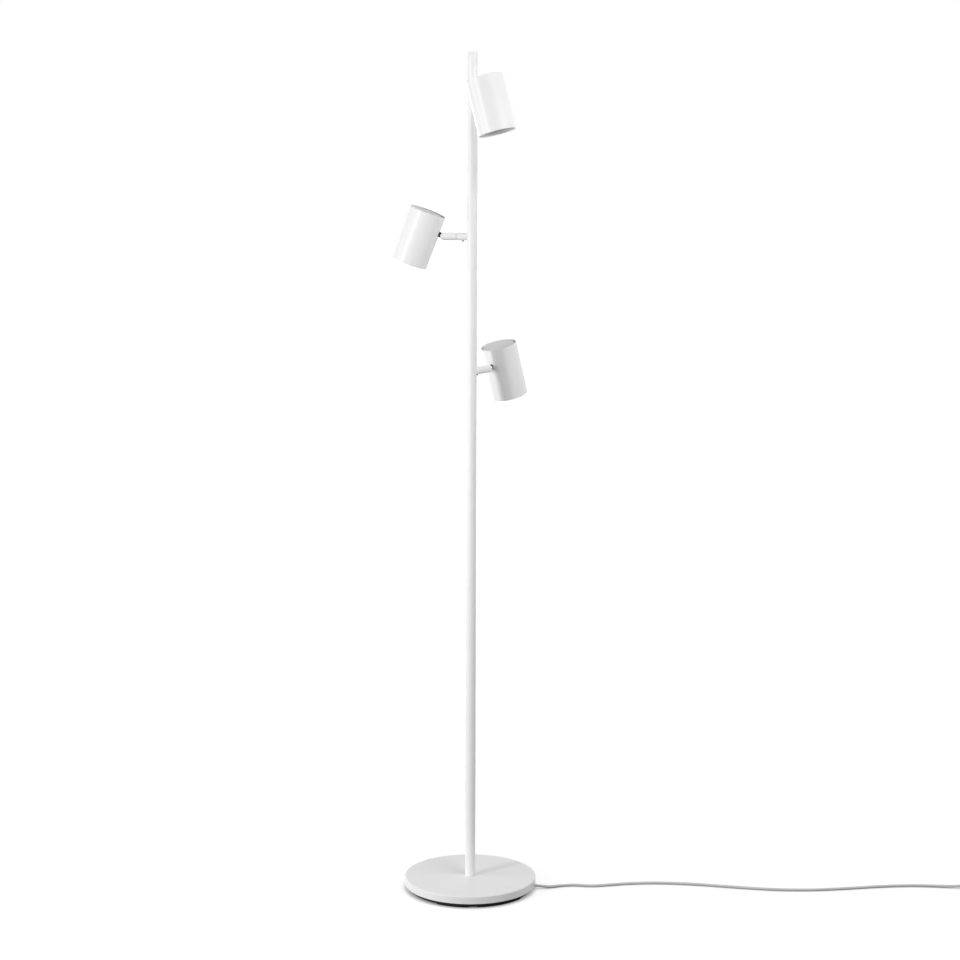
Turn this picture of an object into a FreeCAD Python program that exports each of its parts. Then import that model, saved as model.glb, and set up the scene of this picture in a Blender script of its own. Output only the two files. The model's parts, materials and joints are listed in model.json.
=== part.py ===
"""Tree floor lamp: a slim round pole on a weighted disc, with three cylindrical spots.

Each spot hangs on a short arm that swivels about its own axis and ends in a knuckle,
where the spot tilts.  The mains lead leaves under the disc, passes a foot switch and
ends in a flat two-pin plug.

Frame: origin on the floor at the middle of the disc, +Z up, +X to the right and +Y away
from someone who stands in front.  Lengths are in millimetres, angles in degrees.
"""
import FreeCAD
import Part
import Sketcher
import math
import os

from FreeCAD import Placement, Rotation, Vector

SIZES = {
    # whole lamp
    "lamp_height": 1550.0,
    # how far cuts run past what they cut, and fused pieces run into each other
    "cut_margin": 1.0,
    "fuse_depth": 0.5,
    # pressed disc over the weight
    "disc_radius": 123.0,
    "disc_thickness": 14.4,
    "disc_wall": 2.0,
    "disc_edge_round": 1.4,
    "disc_lip_round": 0.8,
    # pads and underside cover
    "pad_thickness": 2.0,
    "pad_width": 9.0,
    "pad_inset": 0.3,
    "pad_rear_start_angle": 8.0,
    "pad_rear_angle": 180.0,
    "pad_left_start_angle": 238.5,
    "pad_left_angle": 30.5,
    "pad_right_start_angle": 277.0,
    "pad_right_angle": 48.0,
    "cover_inset": 7.4,
    "cover_depth": 6.7,
    "cover_wall": 2.5,
    "cover_floor": 1.2,
    "cover_edge_round": 0.8,
    "boss_radius": 6.5,
    # weight inside the disc
    "weight_inset": 0.8,
    "weight_clearance": 0.2,
    "nut_pocket_radius": 17.0,
    "nut_pocket_depth": 6.8,
    "terminal_recess_depth": 2.0,
    "terminal_recess_width": 15.0,
    # screws that hold the cover
    "cover_screw_count": 3.0,
    "cover_screw_circle": 70.0,
    "cover_screw_radius": 2.0,
    "cover_screw_length": 10.0,
    "cover_screw_fit": 0.05,
    "cover_screw_end_gap": 1.0,
    "screw_head_radius": 4.0,
    "screw_head_height": 1.8,
    "screw_head_sink": 0.3,
    "screw_clearance": 0.2,
    # hollow stud through the disc
    "stud_radius": 6.0,
    "stud_bore": 3.6,
    "stud_reach": 22.0,
    "stud_clearance": 0.02,
    "stud_below_nut": 0.2,
    "nut_flats": 18.0,
    "nut_height": 5.0,
    "washer_radius": 14.0,
    "washer_thickness": 1.5,
    # pole
    "pole_radius": 9.5,
    "pole_wall": 1.2,
    "seam_below_arms": 80.6,
    "coupler_length": 40.0,
    "coupler_wall": 2.5,
    "inner_clearance": 0.05,
    "cap_thickness": 2.5,
    "cap_round": 1.0,
    "cap_seam": 0.5,
    "cap_plug_length": 12.0,
    # wires inside
    "cord_radius": 2.5,
    "riser_radius": 1.6,
    "riser_bend": 5.0,
    "riser_lift": 1.2,
    "riser_above_arm": 10.0,
    "terminal_start": 26.0,
    "terminal_length": 20.0,
    "terminal_width": 12.0,
    "terminal_height": 7.5,
    "terminal_end_gap": 4.0,
    # strain relief of the mains lead, and the side of the base that it leaves by
    "lead_angle": -4.0,
    "lead_rise": 0.4,
    "gland_length": 20.0,
    "gland_body_width": 11.0,
    "gland_neck_width": 6.4,
    "gland_nose_radius": 3.1,
    "gland_tip_radius": 2.7,
    "gland_clearance": 0.1,
    "gland_wall_gap": 0.3,
    "gland_tip_inset": 0.5,
    "lead_seat": 0.05,
    # arms
    "top_arm_drop": 83.7,
    "arm_spacing": 244.1,
    "arm_1_angle": -72.1,
    "arm_2_angle": 168.4,
    "arm_3_angle": 53.1,
    "arm_radius": 7.0,
    "stub_reach": 28.0,
    "seam_gap": 0.3,
    "seam_chamfer": 0.5,
    "tenon_radius": 4.5,
    "tenon_reach": 6.0,
    "tenon_root": 1.5,
    "saddle_gap": 0.02,
    "wire_bore": 1.6,
    # swivel inside the arm
    "spigot_radius": 5.0,
    "spigot_length": 14.0,
    "swivel_clearance": 0.05,
    "spigot_end_gap": 0.3,
    "stop_screw_radius": 1.5,
    "stop_screw_reach": 16.7,
    "stop_screw_stand_out": 2.0,
    "stop_screw_fit": 0.03,
    "stop_tip_gap": 0.3,
    "stop_socket_radius": 0.825,
    "stop_socket_depth": 1.4,
    "stop_groove_width": 3.4,
    "stop_groove_depth": 1.2,
    "stop_groove_angle": 330.0,
    # knuckle
    "knuckle_reach": 52.2,
    "knuckle_pin_radius": 1.75,
    "knuckle_pin_recess": 0.7,
    "pin_press_fit": 0.02,
    "pin_turn_fit": 0.05,
    "tongue_thickness": 4.0,
    "tongue_height": 9.0,
    "tongue_clearance": 0.3,
    "tongue_root": 1.0,
    "fork_depth": 7.4,
    # where each spot stands at rest
    "swivel_1_rest_angle": 11.2,
    "swivel_2_rest_angle": 0.5,
    "swivel_3_rest_angle": -4.8,
    "tilt_1_rest_angle": 11.9,
    "tilt_2_rest_angle": 20.7,
    "tilt_3_rest_angle": 15.3,
    # shade
    "shade_radius": 33.7,
    "shade_length": 99.4,
    "shade_wall": 1.4,
    "shade_lip_round": 0.5,
    "shade_offset": 43.5,
    "shade_rise": 31.3,
    # rear cap and bracket in the shade
    "vent_gap": 2.3,
    "rear_cap_recess": 1.5,
    "rear_cap_wall": 1.2,
    "rear_cap_skirt": 7.0,
    "rear_cap_round": 1.6,
    "rear_cap_post_radius": 4.0,
    "shelf_depth": 13.0,
    "bracket_thickness": 1.5,
    "bracket_width": 18.0,
    "shelf_corner": 2.0,
    "saddle_angle": 34.0,
    "saddle_drop": 10.0,
    "saddle_clearance": 0.05,
    # lampholder and bulb
    "holder_radius": 13.5,
    "holder_length": 16.0,
    "holder_edge_round": 1.0,
    "bulb_pin_clearance": 0.2,
    "bulb_pin_end_gap": 1.0,
    "bulb_radius": 25.0,
    "bulb_length": 52.0,
    "bulb_wall": 1.6,
    "bulb_neck_radius": 12.5,
    "bulb_neck_length": 15.0,
    "bulb_neck_flare": 1.0,
    "bulb_rim_length": 9.0,
    "bulb_rim_round": 0.7,
    "bulb_flare_radius": 60.0,
    "bulb_pin_spacing": 10.0,
    "bulb_pin_radius": 2.4,
    "bulb_pin_length": 6.0,
    "lens_recess": 0.4,
    "lens_fit": 0.02,
    "lens_edge": 1.2,
    "lens_bevel": 1.5,
    # foot switch
    "switch_x": 982.0,
    "switch_length": 60.0,
    "switch_width": 32.0,
    "switch_height": 20.0,
    "switch_split": 11.0,
    "switch_wall": 2.0,
    "switch_top_round": 3.5,
    "switch_nose_length": 8.0,
    "switch_nose_radius": 4.0,
    "switch_nose_tip": 3.2,
    "switch_nose_rise": 2.0,
    "nose_rib_height": 0.6,
    "nose_wall": 0.4,
    "switch_rib_count": 3.0,
    "switch_rib_width": 1.2,
    "switch_rib_pitch": 2.4,
    "button_radius": 12.0,
    "button_clearance": 0.3,
    "button_flange": 1.5,
    "button_flange_height": 2.0,
    "button_stand_out": 4.0,
    "button_round": 1.5,
    "button_dish_radius": 9.6,
    "button_dish_depth": 0.8,
    # plug
    "plug_width": 35.3,
    "plug_cord_width": 16.0,
    "plug_thickness": 13.7,
    "plug_length": 33.0,
    "plug_straight": 14.0,
    "plug_edge_round": 2.5,
    "plug_relief_length": 20.0,
    "plug_relief_radius": 4.5,
    "plug_relief_tip": 3.2,
    "plug_rib_count": 6.0,
    "plug_rib_width": 1.4,
    "plug_rib_pitch": 3.0,
    "plug_grip_count": 4.0,
    "plug_grip_start": 3.6,
    "plug_grip_width": 1.2,
    "plug_grip_pitch": 2.6,
    "plug_grip_depth": 0.6,
    "plug_pin_radius": 2.0,
    "plug_pin_length": 19.0,
    "plug_pin_spacing": 19.0,
    # coil of the spare lead
    "coil_x": 1066.0,
    "coil_y": 37.0,
    "coil_mid_radius": 30.0,
    "coil_pitch": 5.5,
    "coil_half_turns": 5.0,
    "coil_climb_step": 1.4,
    "coil_rest_gap": 0.2,
    "coil_lead_out": 27.0,
    "tie_thickness": 0.7,
    "tie_width": 6.0,
    "tie_clearance": 0.3,
    "tie_bow_clearance": 0.9,
    "tie_round": 2.5,
}

# The mains lead from the strain relief to the foot switch: points of its route.
ROUTE = [
    (132.0, -9.3, 5.5),
    (148.0, -8.0, 3.0),
    (168.0, 0.5, 2.5),
    (195.0, 6.5, 2.5),
    (226.0, -0.5, 2.5),
    (256.0, 5.0, 2.5),
    (300.0, 16.0, 2.5),
    (360.0, 20.0, 2.5),
    (430.0, 12.0, 2.5),
    (500.0, -4.0, 2.5),
    (570.0, -17.0, 2.5),
    (640.0, -19.0, 2.5),
    (710.0, -9.0, 2.5),
    (775.0, 4.0, 2.5),
    (835.0, 9.5, 2.5),
    (880.0, 6.0, 2.7),
    (912.0, 1.2, 3.8),
    (928.0, 0.0, 5.6),
]

XY = "XY_Plane"
XZ = "XZ_Plane"
YZ = "YZ_Plane"
UPRIGHT = "V_Axis"
LYING = "H_Axis"


class Size:
    """A number together with the sheet formula that it comes from."""

    def __init__(self, value, formula):
        self.value = float(value)
        self.formula = formula

    def __add__(self, other):
        return Size(self.value + number(other), "(%s + %s)" % (self.formula, formula(other)))

    def __sub__(self, other):
        return Size(self.value - number(other), "(%s - %s)" % (self.formula, formula(other)))

    def __mul__(self, other):
        return Size(self.value * number(other), "(%s * %s)" % (self.formula, formula(other)))

    def __truediv__(self, other):
        return Size(self.value / number(other), "(%s / %s)" % (self.formula, formula(other)))

    def __neg__(self):
        return Size(-self.value, "(0 - %s)" % self.formula)


def number(size):
    """The plain number of a Size or of a number."""
    return size.value if isinstance(size, Size) else float(size)


def formula(size):
    """The sheet formula of a Size, or the text of a number."""
    return size.formula if isinstance(size, Size) else "%.6f" % size


def bind(owner, prop, size):
    """Give a property its number and tie it to the sheet."""
    setattr(owner, prop, number(size))
    if isinstance(size, Size):
        owner.setExpression(prop, size.formula)


doc = FreeCAD.newDocument("TreeFloorLamp")
sheet = doc.addObject("Spreadsheet::Sheet", "Sizes")
for row, (alias, value) in enumerate(SIZES.items(), start=1):
    sheet.set("A%d" % row, alias.replace("_", " "))
    sheet.set("B%d" % row, "%g" % value)
    sheet.setAlias("B%d" % row, alias)
doc.recompute()


def size(alias):
    """The named size of the sheet."""
    return Size(SIZES[alias], "Sizes." + alias)


# ---------------------------------------------------------------- levels and fits
lamp_height = size("lamp_height")
cover_bottom = size("pad_thickness")
disc_bottom = cover_bottom + size("cover_depth")
disc_top = disc_bottom + size("disc_thickness")
weight_bottom = disc_bottom + size("weight_inset")
weight_top = disc_top - size("disc_wall")
weight_radius = size("disc_radius") - size("disc_wall") - size("weight_clearance")
nut_pocket_top = weight_bottom + size("nut_pocket_depth")
stud_hole = size("stud_radius") + size("stud_clearance")
cover_inside = cover_bottom + size("cover_floor")
cover_radius = size("disc_radius") - size("cover_inset")
lead_height = cover_inside + size("cord_radius") + size("lead_seat")

pole_inner = size("pole_radius") - size("pole_wall")
pole_top = lamp_height - size("cap_thickness")
inner_fit = pole_inner - size("inner_clearance")
top_arm = lamp_height - size("top_arm_drop")
upper_seam = top_arm - size("arm_spacing") * 2 - size("seam_below_arms")
lower_pole_length = (upper_seam - disc_top) / 2
lower_seam = disc_top + lower_pole_length

gland_wall_x = cover_radius - size("cover_wall")
gland_tip_x = weight_radius - size("gland_tip_inset")
gland_inner_x = gland_tip_x - size("gland_length")
terminal_end = size("terminal_start") + size("terminal_length")

fork_gap = size("tongue_thickness") + size("tongue_clearance") * 2
swivel_start = size("stub_reach") - size("spigot_length")
shade_inner = size("shade_radius") - size("shade_wall")
saddle_outer = shade_inner - size("saddle_clearance")
rear_rim = size("shade_rise")
front_rim = rear_rim - size("shade_length")
shelf_top = rear_rim - size("shelf_depth")
shelf_bottom = shelf_top - size("bracket_thickness")
rear_cap_top = rear_rim - size("rear_cap_recess")
rear_cap_radius = shade_inner - size("vent_gap")
holder_bottom = shelf_bottom - size("holder_length")
bulb_front = holder_bottom - size("bulb_length")

base_turn = Placement(Vector(0, 0, 0), Rotation(Vector(0, 0, 1), SIZES["lead_angle"]))

ARMS = (1, 2, 3)


def arm_height(arm):
    return top_arm - size("arm_spacing") * (arm - 1)


def arm_frame(arm):
    """X runs out along the arm from the pole's axis, Z is up."""
    turn = Rotation(Vector(0, 0, 1), SIZES["arm_%d_angle" % arm])
    return Placement(Vector(0, 0, arm_height(arm).value), turn)


def swivel_frame(arm):
    """The arm's frame after the spot has swivelled about the arm's axis."""
    swivel = Rotation(Vector(1, 0, 0), SIZES["swivel_%d_rest_angle" % arm])
    return arm_frame(arm).multiply(Placement(Vector(0, 0, 0), swivel))


def head_frame(arm):
    """Z runs back along the shade's axis, from the knuckle's level; the knuckle is at -X."""
    tilt = Rotation(Vector(0, 1, 0), -SIZES["tilt_%d_rest_angle" % arm])
    knuckle = Placement(Vector(SIZES["knuckle_reach"], 0, 0), tilt)
    to_axis = Placement(Vector(SIZES["shade_offset"], 0, 0), Rotation())
    return swivel_frame(arm).multiply(knuckle).multiply(to_axis)


# ---------------------------------------------------------------- sketch and body helpers
def new_body(name):
    body = doc.addObject("PartDesign::Body", name)
    body.Label = name
    return body


def origin_plane(body, role):
    for feature in body.Origin.OriginFeatures:
        if feature.Role == role:
            return feature
    raise ValueError("no plane " + role)


def new_sketch(body, name, plane, offset=0.0):
    sketch = body.newObject("Sketcher::SketchObject", "%s_%s" % (body.Name, name))
    sketch.AttachmentSupport = [(origin_plane(body, plane), "")]
    sketch.MapMode = "FlatFace"
    sketch.AttachmentOffset = Placement(Vector(0, 0, number(offset)), Rotation())
    if isinstance(offset, Size):
        sketch.setExpression("AttachmentOffset.Base.z", offset.formula)
    return sketch


def pin_down(sketch, edge, end, coordinate, direction):
    """Hold one end of an edge at a coordinate of the sketch."""
    if number(coordinate) == 0.0:
        axis = -2 if direction == "DistanceX" else -1
        sketch.addConstraint(Sketcher.Constraint("PointOnObject", edge, end, axis))
        return
    rule = Sketcher.Constraint(direction, -1, 1, edge, end, number(coordinate))
    index = sketch.addConstraint(rule)
    if isinstance(coordinate, Size):
        sketch.renameConstraint(index, "at%d" % index)
        sketch.setExpression("Constraints.at%d" % index, coordinate.formula)


def hold_radius(sketch, edge, radius):
    index = sketch.addConstraint(Sketcher.Constraint("Radius", edge, abs(number(radius))))
    if isinstance(radius, Size):
        sketch.renameConstraint(index, "radius%d" % index)
        sketch.setExpression("Constraints.radius%d" % index, radius.formula)


def arc_between(start, end, radius, left):
    """The minor arc from start to end; left says that it bulges to the left of the way."""
    chord = end - start
    half = chord.Length / 2
    rise = math.sqrt(max(radius * radius - half * half, 0.0))
    side = Vector(-chord.y, chord.x, 0).normalize()
    centre = start + chord * 0.5 - side * (rise if left else -rise)
    first = math.atan2(start.y - centre.y, start.x - centre.x)
    last = math.atan2(end.y - centre.y, end.x - centre.x)
    circle = Part.Circle(centre, Vector(0, 0, 1), radius)
    if left:
        return Part.ArcOfCircle(circle, last, first)
    return Part.ArcOfCircle(circle, first, last)


def outline(sketch, corners):
    """Closed outline through corners (x, y), with (x, y, radius, side) where an arc follows."""
    points = [Vector(number(corner[0]), number(corner[1]), 0) for corner in corners]
    base = sketch.GeometryCount
    ends = []
    for index, corner in enumerate(corners):
        start = points[index]
        end = points[(index + 1) % len(points)]
        if len(corner) == 2:
            sketch.addGeometry(Part.LineSegment(start, end), False)
            ends.append((1, 2))
        else:
            left = corner[3] == "left"
            sketch.addGeometry(arc_between(start, end, number(corner[2]), left), False)
            ends.append((2, 1) if left else (1, 2))
    for index in range(len(corners)):
        after = (index + 1) % len(corners)
        sketch.addConstraint(Sketcher.Constraint("Coincident", base + index, ends[index][1],
                                                 base + after, ends[after][0]))
    for index, corner in enumerate(corners):
        pin_down(sketch, base + index, ends[index][0], corner[0], "DistanceX")
        pin_down(sketch, base + index, ends[index][0], corner[1], "DistanceY")
        if len(corner) > 2:
            hold_radius(sketch, base + index, corner[2])


def turned(body, name, corners, axis=UPRIGHT, angle=360.0, cut=False):
    """Turn an outline on the XZ plane about the sketch's axis, as solid or as cut."""
    sketch = new_sketch(body, name + "_outline", XZ)
    outline(sketch, corners)
    kind = "PartDesign::Groove" if cut else "PartDesign::Revolution"
    feature = body.newObject(kind, "%s_%s" % (body.Name, name))
    feature.Profile = sketch
    feature.ReferenceAxis = (sketch, [axis])
    bind(feature, "Angle", angle)
    if number(angle) < 360.0:
        feature.Midplane = True
    return feature


def padded(body, name, plane, corners, length, offset=0.0, both_ways=False, cut=False):
    """Pad or pocket an outline; a pocket goes the way of the plane's normal too."""
    sketch = new_sketch(body, name + "_outline", plane, offset)
    outline(sketch, corners)
    kind = "PartDesign::Pocket" if cut else "PartDesign::Pad"
    feature = body.newObject(kind, "%s_%s" % (body.Name, name))
    feature.Profile = sketch
    bind(feature, "Length", length)
    if both_ways:
        feature.SideType = "Symmetric"
    elif cut:
        feature.Reversed = True
    return feature


def place_on(feature, body, plane, at):
    """Seat a primitive on an origin plane; at is (x, y, along the normal)."""
    feature.AttachmentSupport = [(origin_plane(body, plane), "")]
    feature.MapMode = "FlatFace"
    feature.AttachmentOffset = Placement(Vector(*[number(value) for value in at]), Rotation())
    for axis, value in zip("xyz", at):
        if isinstance(value, Size):
            feature.setExpression("AttachmentOffset.Base." + axis, value.formula)


def cylinder(body, name, plane, at, radius, height, cut=False):
    kind = "PartDesign::SubtractiveCylinder" if cut else "PartDesign::AdditiveCylinder"
    feature = body.newObject(kind, "%s_%s" % (body.Name, name))
    place_on(feature, body, plane, at)
    bind(feature, "Radius", radius)
    bind(feature, "Height", height)
    return feature


def cone(body, name, plane, at, start_radius, end_radius, height):
    feature = body.newObject("PartDesign::AdditiveCone", "%s_%s" % (body.Name, name))
    place_on(feature, body, plane, at)
    bind(feature, "Radius1", start_radius)
    bind(feature, "Radius2", end_radius)
    bind(feature, "Height", height)
    return feature


def box(body, name, plane, at, lengths, cut=False):
    kind = "PartDesign::SubtractiveBox" if cut else "PartDesign::AdditiveBox"
    feature = body.newObject(kind, "%s_%s" % (body.Name, name))
    place_on(feature, body, plane, at)
    for prop, value in zip(("Length", "Width", "Height"), lengths):
        bind(feature, prop, value)
    return feature


def edge_names(feature, test):
    """Names of the edges whose shape passes a test."""
    return ["Edge%d" % (index + 1) for index, edge in enumerate(feature.Shape.Edges) if test(edge)]


def round_edges(body, name, base, radius, test, chamfer=False):
    doc.recompute()
    kind = "PartDesign::Chamfer" if chamfer else "PartDesign::Fillet"
    feature = body.newObject(kind, "%s_%s" % (body.Name, name))
    feature.Base = (base, edge_names(base, test))
    bind(feature, "Size" if chamfer else "Radius", radius)
    return feature


def is_ring(radius, height, axis="z", slack=0.01):
    """A test for full circles of a radius at a height along an axis."""
    def test(edge):
        curve = edge.Curve
        if not isinstance(curve, Part.Circle) or abs(curve.Radius - number(radius)) > slack:
            return False
        return abs(getattr(curve.Center, axis) - number(height)) < slack
    return test


def polar_copies(body, name, feature, count):
    """Repeat a feature round the body's Z axis; it counts once it is the body's tip."""
    pattern = body.newObject("PartDesign::PolarPattern", "%s_%s" % (body.Name, name))
    pattern.Originals = [feature]
    axis = [item for item in body.Origin.OriginFeatures if item.Role == "Z_Axis"][0]
    pattern.Axis = (axis, [""])
    pattern.Angle = 360.0
    pattern.Occurrences = int(number(count))
    body.Tip = pattern
    return pattern


def primitive(kind, name, sizes, placement=None):
    """A Part primitive with bound sizes."""
    item = doc.addObject("Part::" + kind, name)
    item.Label = name
    for prop, value in sizes.items():
        bind(item, prop, value)
    if placement is not None:
        item.Placement = placement
    return item


def raise_to(item, height):
    """Put a primitive's foot at a height of the sheet."""
    item.Placement = Placement(Vector(0, 0, number(height)), Rotation())
    if isinstance(height, Size):
        item.setExpression("Placement.Base.z", height.formula)
    return item


def cut(name, base, tool):
    item = doc.addObject("Part::Cut", name)
    item.Label = name
    item.Base = base
    item.Tool = tool
    return item


def tube(name, outer, inner, length, foot):
    """An upright tube that stands at a height."""
    skin = raise_to(primitive("Cylinder", name + "_outside", {"Radius": outer, "Height": length}), foot)
    hole = raise_to(primitive("Cylinder", name + "_bore", {"Radius": inner, "Height": length}), foot)
    return cut(name, skin, hole)


def solid_feature(name, shape):
    item = doc.addObject("Part::Feature", name)
    item.Label = name
    item.Shape = shape
    return item


# ---------------------------------------------------------------- base
def make_base_disc():
    body = new_body("base_disc")
    radius = size("disc_radius")
    shell = turned(body, "shell", [
        (stud_hole, weight_top),
        (radius - size("disc_wall"), weight_top),
        (radius - size("disc_wall"), disc_bottom),
        (radius, disc_bottom),
        (radius, disc_top),
        (stud_hole, disc_top),
    ])
    rounded = round_edges(body, "edge", shell, size("disc_edge_round"), is_ring(radius, disc_top))
    round_edges(body, "lip", rounded, size("disc_lip_round"), is_ring(radius, disc_bottom))
    return body


def make_base_weight():
    body = new_body("base_weight")
    pocket = size("nut_pocket_radius")
    turned(body, "slab", [
        (stud_hole, nut_pocket_top),
        (pocket, nut_pocket_top),
        (pocket, weight_bottom),
        (weight_radius, weight_bottom),
        (weight_radius, weight_top),
        (stud_hole, weight_top),
    ])
    half = size("terminal_recess_width") / 2
    padded(body, "terminal_recess", XY, [
        (0.0, -half),
        (terminal_end + size("terminal_end_gap"), -half),
        (terminal_end + size("terminal_end_gap"), half),
        (0.0, half),
    ], size("terminal_recess_depth"), offset=weight_bottom, cut=True)
    hole = cylinder(body, "screw_hole", XY, (screw_x(), screw_y(), weight_bottom),
                    size("cover_screw_radius") + size("cover_screw_fit"), size("cover_screw_length"), cut=True)
    polar_copies(body, "screw_holes", hole, size("cover_screw_count"))
    body.Placement = base_turn
    return body


def screw_x():
    return size("cover_screw_circle") * 0.5


def screw_y():
    return size("cover_screw_circle") * (math.sqrt(3) / 2)


def make_base_cover():
    body = new_body("base_cover")
    outer = cover_radius
    inner = gland_wall_x
    tray = turned(body, "tray", [
        (0.0, cover_bottom),
        (outer, cover_bottom),
        (outer, weight_bottom),
        (inner, weight_bottom),
        (inner, cover_inside),
        (0.0, cover_inside),
    ])
    round_edges(body, "edge", tray, size("cover_edge_round"), is_ring(outer, cover_bottom))
    half = (size("gland_neck_width") + size("gland_clearance") * 2) / 2
    margin = size("cut_margin")
    box(body, "lead_notch", XY, (inner - margin, -half, cover_inside),
        (size("cover_wall") + margin * 2, half * 2, size("cover_depth") * 2), cut=True)
    boss = cylinder(body, "boss", XY, (screw_x(), screw_y(), cover_bottom),
                    size("boss_radius"), weight_bottom - cover_bottom)
    polar_copies(body, "bosses", boss, size("cover_screw_count"))
    head_room = size("screw_head_sink") + size("screw_head_height")
    counterbore = cylinder(body, "counterbore", XY, (screw_x(), screw_y(), cover_bottom),
                           size("screw_head_radius") + size("screw_clearance"), head_room, cut=True)
    polar_copies(body, "counterbores", counterbore, size("cover_screw_count"))
    through = cylinder(body, "screw_way", XY, (screw_x(), screw_y(), cover_bottom),
                       size("cover_screw_radius") + size("screw_clearance"),
                       size("cover_depth") * 2, cut=True)
    polar_copies(body, "screw_ways", through, size("cover_screw_count"))
    body.Placement = base_turn
    return body


def make_cover_screws():
    """Three pan-head screws from below through the cover into the weight."""
    screws = []
    count = int(SIZES["cover_screw_count"])
    head_foot = cover_bottom + size("screw_head_sink")
    for index in range(count):
        angle = math.radians(60 + 360.0 * index / count)
        middle = Vector(math.cos(angle), math.sin(angle), 0) * SIZES["cover_screw_circle"]
        name = "cover_screw_%d" % (index + 1)
        head = primitive("Cylinder", name + "_head", {
            "Radius": size("screw_head_radius"), "Height": size("screw_head_height")})
        head.Placement = Placement(middle + Vector(0, 0, head_foot.value), Rotation())
        shank = primitive("Cylinder", name + "_shank", {
            "Radius": size("cover_screw_radius"),
            "Height": weight_bottom - head_foot + size("cover_screw_length") - size("cover_screw_end_gap")})
        shank.Placement = head.Placement
        screw = doc.addObject("Part::Fuse", name)
        screw.Base = head
        screw.Tool = shank
        screws.append(screw)
    group = doc.addObject("Part::Compound", "cover_screws")
    group.Links = screws
    group.Placement = base_turn
    return group


def make_foot_pads():
    """Three strips of rubber round the cover's edge, with the gaps between them."""
    strips = []
    for side in ("rear", "left", "right"):
        sweep = size("pad_%s_angle" % side)
        outer = primitive("Cylinder", "pad_%s_outside" % side, {
            "Radius": cover_radius - size("pad_inset"),
            "Height": size("pad_thickness"), "Angle": sweep})
        inner = primitive("Cylinder", "pad_%s_inside" % side, {
            "Radius": cover_radius - size("pad_width"),
            "Height": size("pad_thickness"), "Angle": sweep})
        strip = cut("pad_%s" % side, outer, inner)
        turn = Rotation(Vector(0, 0, 1), SIZES["pad_%s_start_angle" % side])
        strip.Placement = Placement(Vector(0, 0, 0), turn)
        strips.append(strip)
    group = doc.addObject("Part::Compound", "foot_pads")
    group.Links = strips
    return group


def make_base_fixing():
    """Hollow stud, washer and nut that clamp the pole, disc and weight together."""
    washer_top = nut_pocket_top
    washer_foot = washer_top - size("washer_thickness")
    nut_foot = washer_foot - size("nut_height")
    stud_foot = nut_foot - size("stud_below_nut")
    stud = tube("base_stud", size("stud_radius"), size("stud_bore"),
                disc_top + size("stud_reach") - stud_foot, stud_foot)
    washer = tube("base_washer", size("washer_radius"), stud_hole, size("washer_thickness"),
                  washer_foot)
    prism = primitive("Prism", "base_nut_block", {
        "Circumradius": size("nut_flats") / math.sqrt(3), "Height": size("nut_height")})
    prism.Polygon = 6
    raise_to(prism, nut_foot)
    hole = raise_to(primitive("Cylinder", "base_nut_hole", {
        "Radius": stud_hole, "Height": size("nut_height")}), nut_foot)
    nut = cut("base_nut", prism, hole)
    return [stud, washer, nut]


def make_cord_gland():
    """Strain relief: a block in the cover with a neck in its notch and a tapered nose."""
    body = new_body("cord_gland")
    half = size("gland_body_width") / 2
    height = weight_bottom - cover_inside - size("gland_clearance")
    block_end = gland_wall_x - size("gland_wall_gap")
    box(body, "block", XY, (gland_inner_x, -half, cover_inside),
        (block_end - gland_inner_x, half * 2, height))
    neck_half = size("gland_neck_width") / 2
    overlap = size("fuse_depth")
    neck_start = block_end - overlap
    neck_end = cover_radius + overlap
    box(body, "neck", XY, (neck_start, -neck_half, cover_inside),
        (neck_end - neck_start, neck_half * 2, height))
    nose_start = cover_radius + overlap / 2
    cone(body, "nose", YZ, (0.0, lead_height + size("lead_rise"), nose_start),
         size("gland_nose_radius"), size("gland_tip_radius"), gland_tip_x - nose_start)
    body.Placement = base_turn
    return body


def make_lead_inside():
    """The lead from the strain relief to the terminal block, and the wire up the pole."""
    start = terminal_end
    lead = primitive("Cylinder", "inner_lead", {
        "Radius": size("cord_radius"), "Height": gland_inner_x - start})
    along = Placement(Vector(start.value, 0, lead_height.value), Rotation(Vector(0, 1, 0), 90))
    lead.Placement = base_turn.multiply(along)
    block = primitive("Box", "terminal_block", {
        "Length": size("terminal_length"), "Width": size("terminal_width"),
        "Height": size("terminal_height")})
    corner = Vector(SIZES["terminal_start"], -SIZES["terminal_width"] / 2, cover_inside.value)
    block.Placement = base_turn.multiply(Placement(corner, Rotation()))
    return [lead, block]


def make_riser():
    """Thin twin wire from the terminal block through the stud to the topmost arm."""
    level = lead_height.value + SIZES["riser_lift"]
    bend = SIZES["riser_bend"]
    top = top_arm.value + SIZES["riser_above_arm"]
    start = Vector(SIZES["terminal_start"], 0, level)
    corner = Vector(bend, 0, level)
    rise = Vector(0, 0, level + bend)
    middle = Vector(bend - bend * math.sin(math.pi / 4), 0, level + bend - bend * math.cos(math.pi / 4))
    path = Part.Wire([
        Part.LineSegment(start, corner).toShape(),
        Part.Arc(corner, middle, rise).toShape(),
        Part.LineSegment(rise, Vector(0, 0, top)).toShape(),
    ])
    riser = swept_tube("riser_wire", path, SIZES["riser_radius"])
    riser.Placement = base_turn
    return riser


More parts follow.
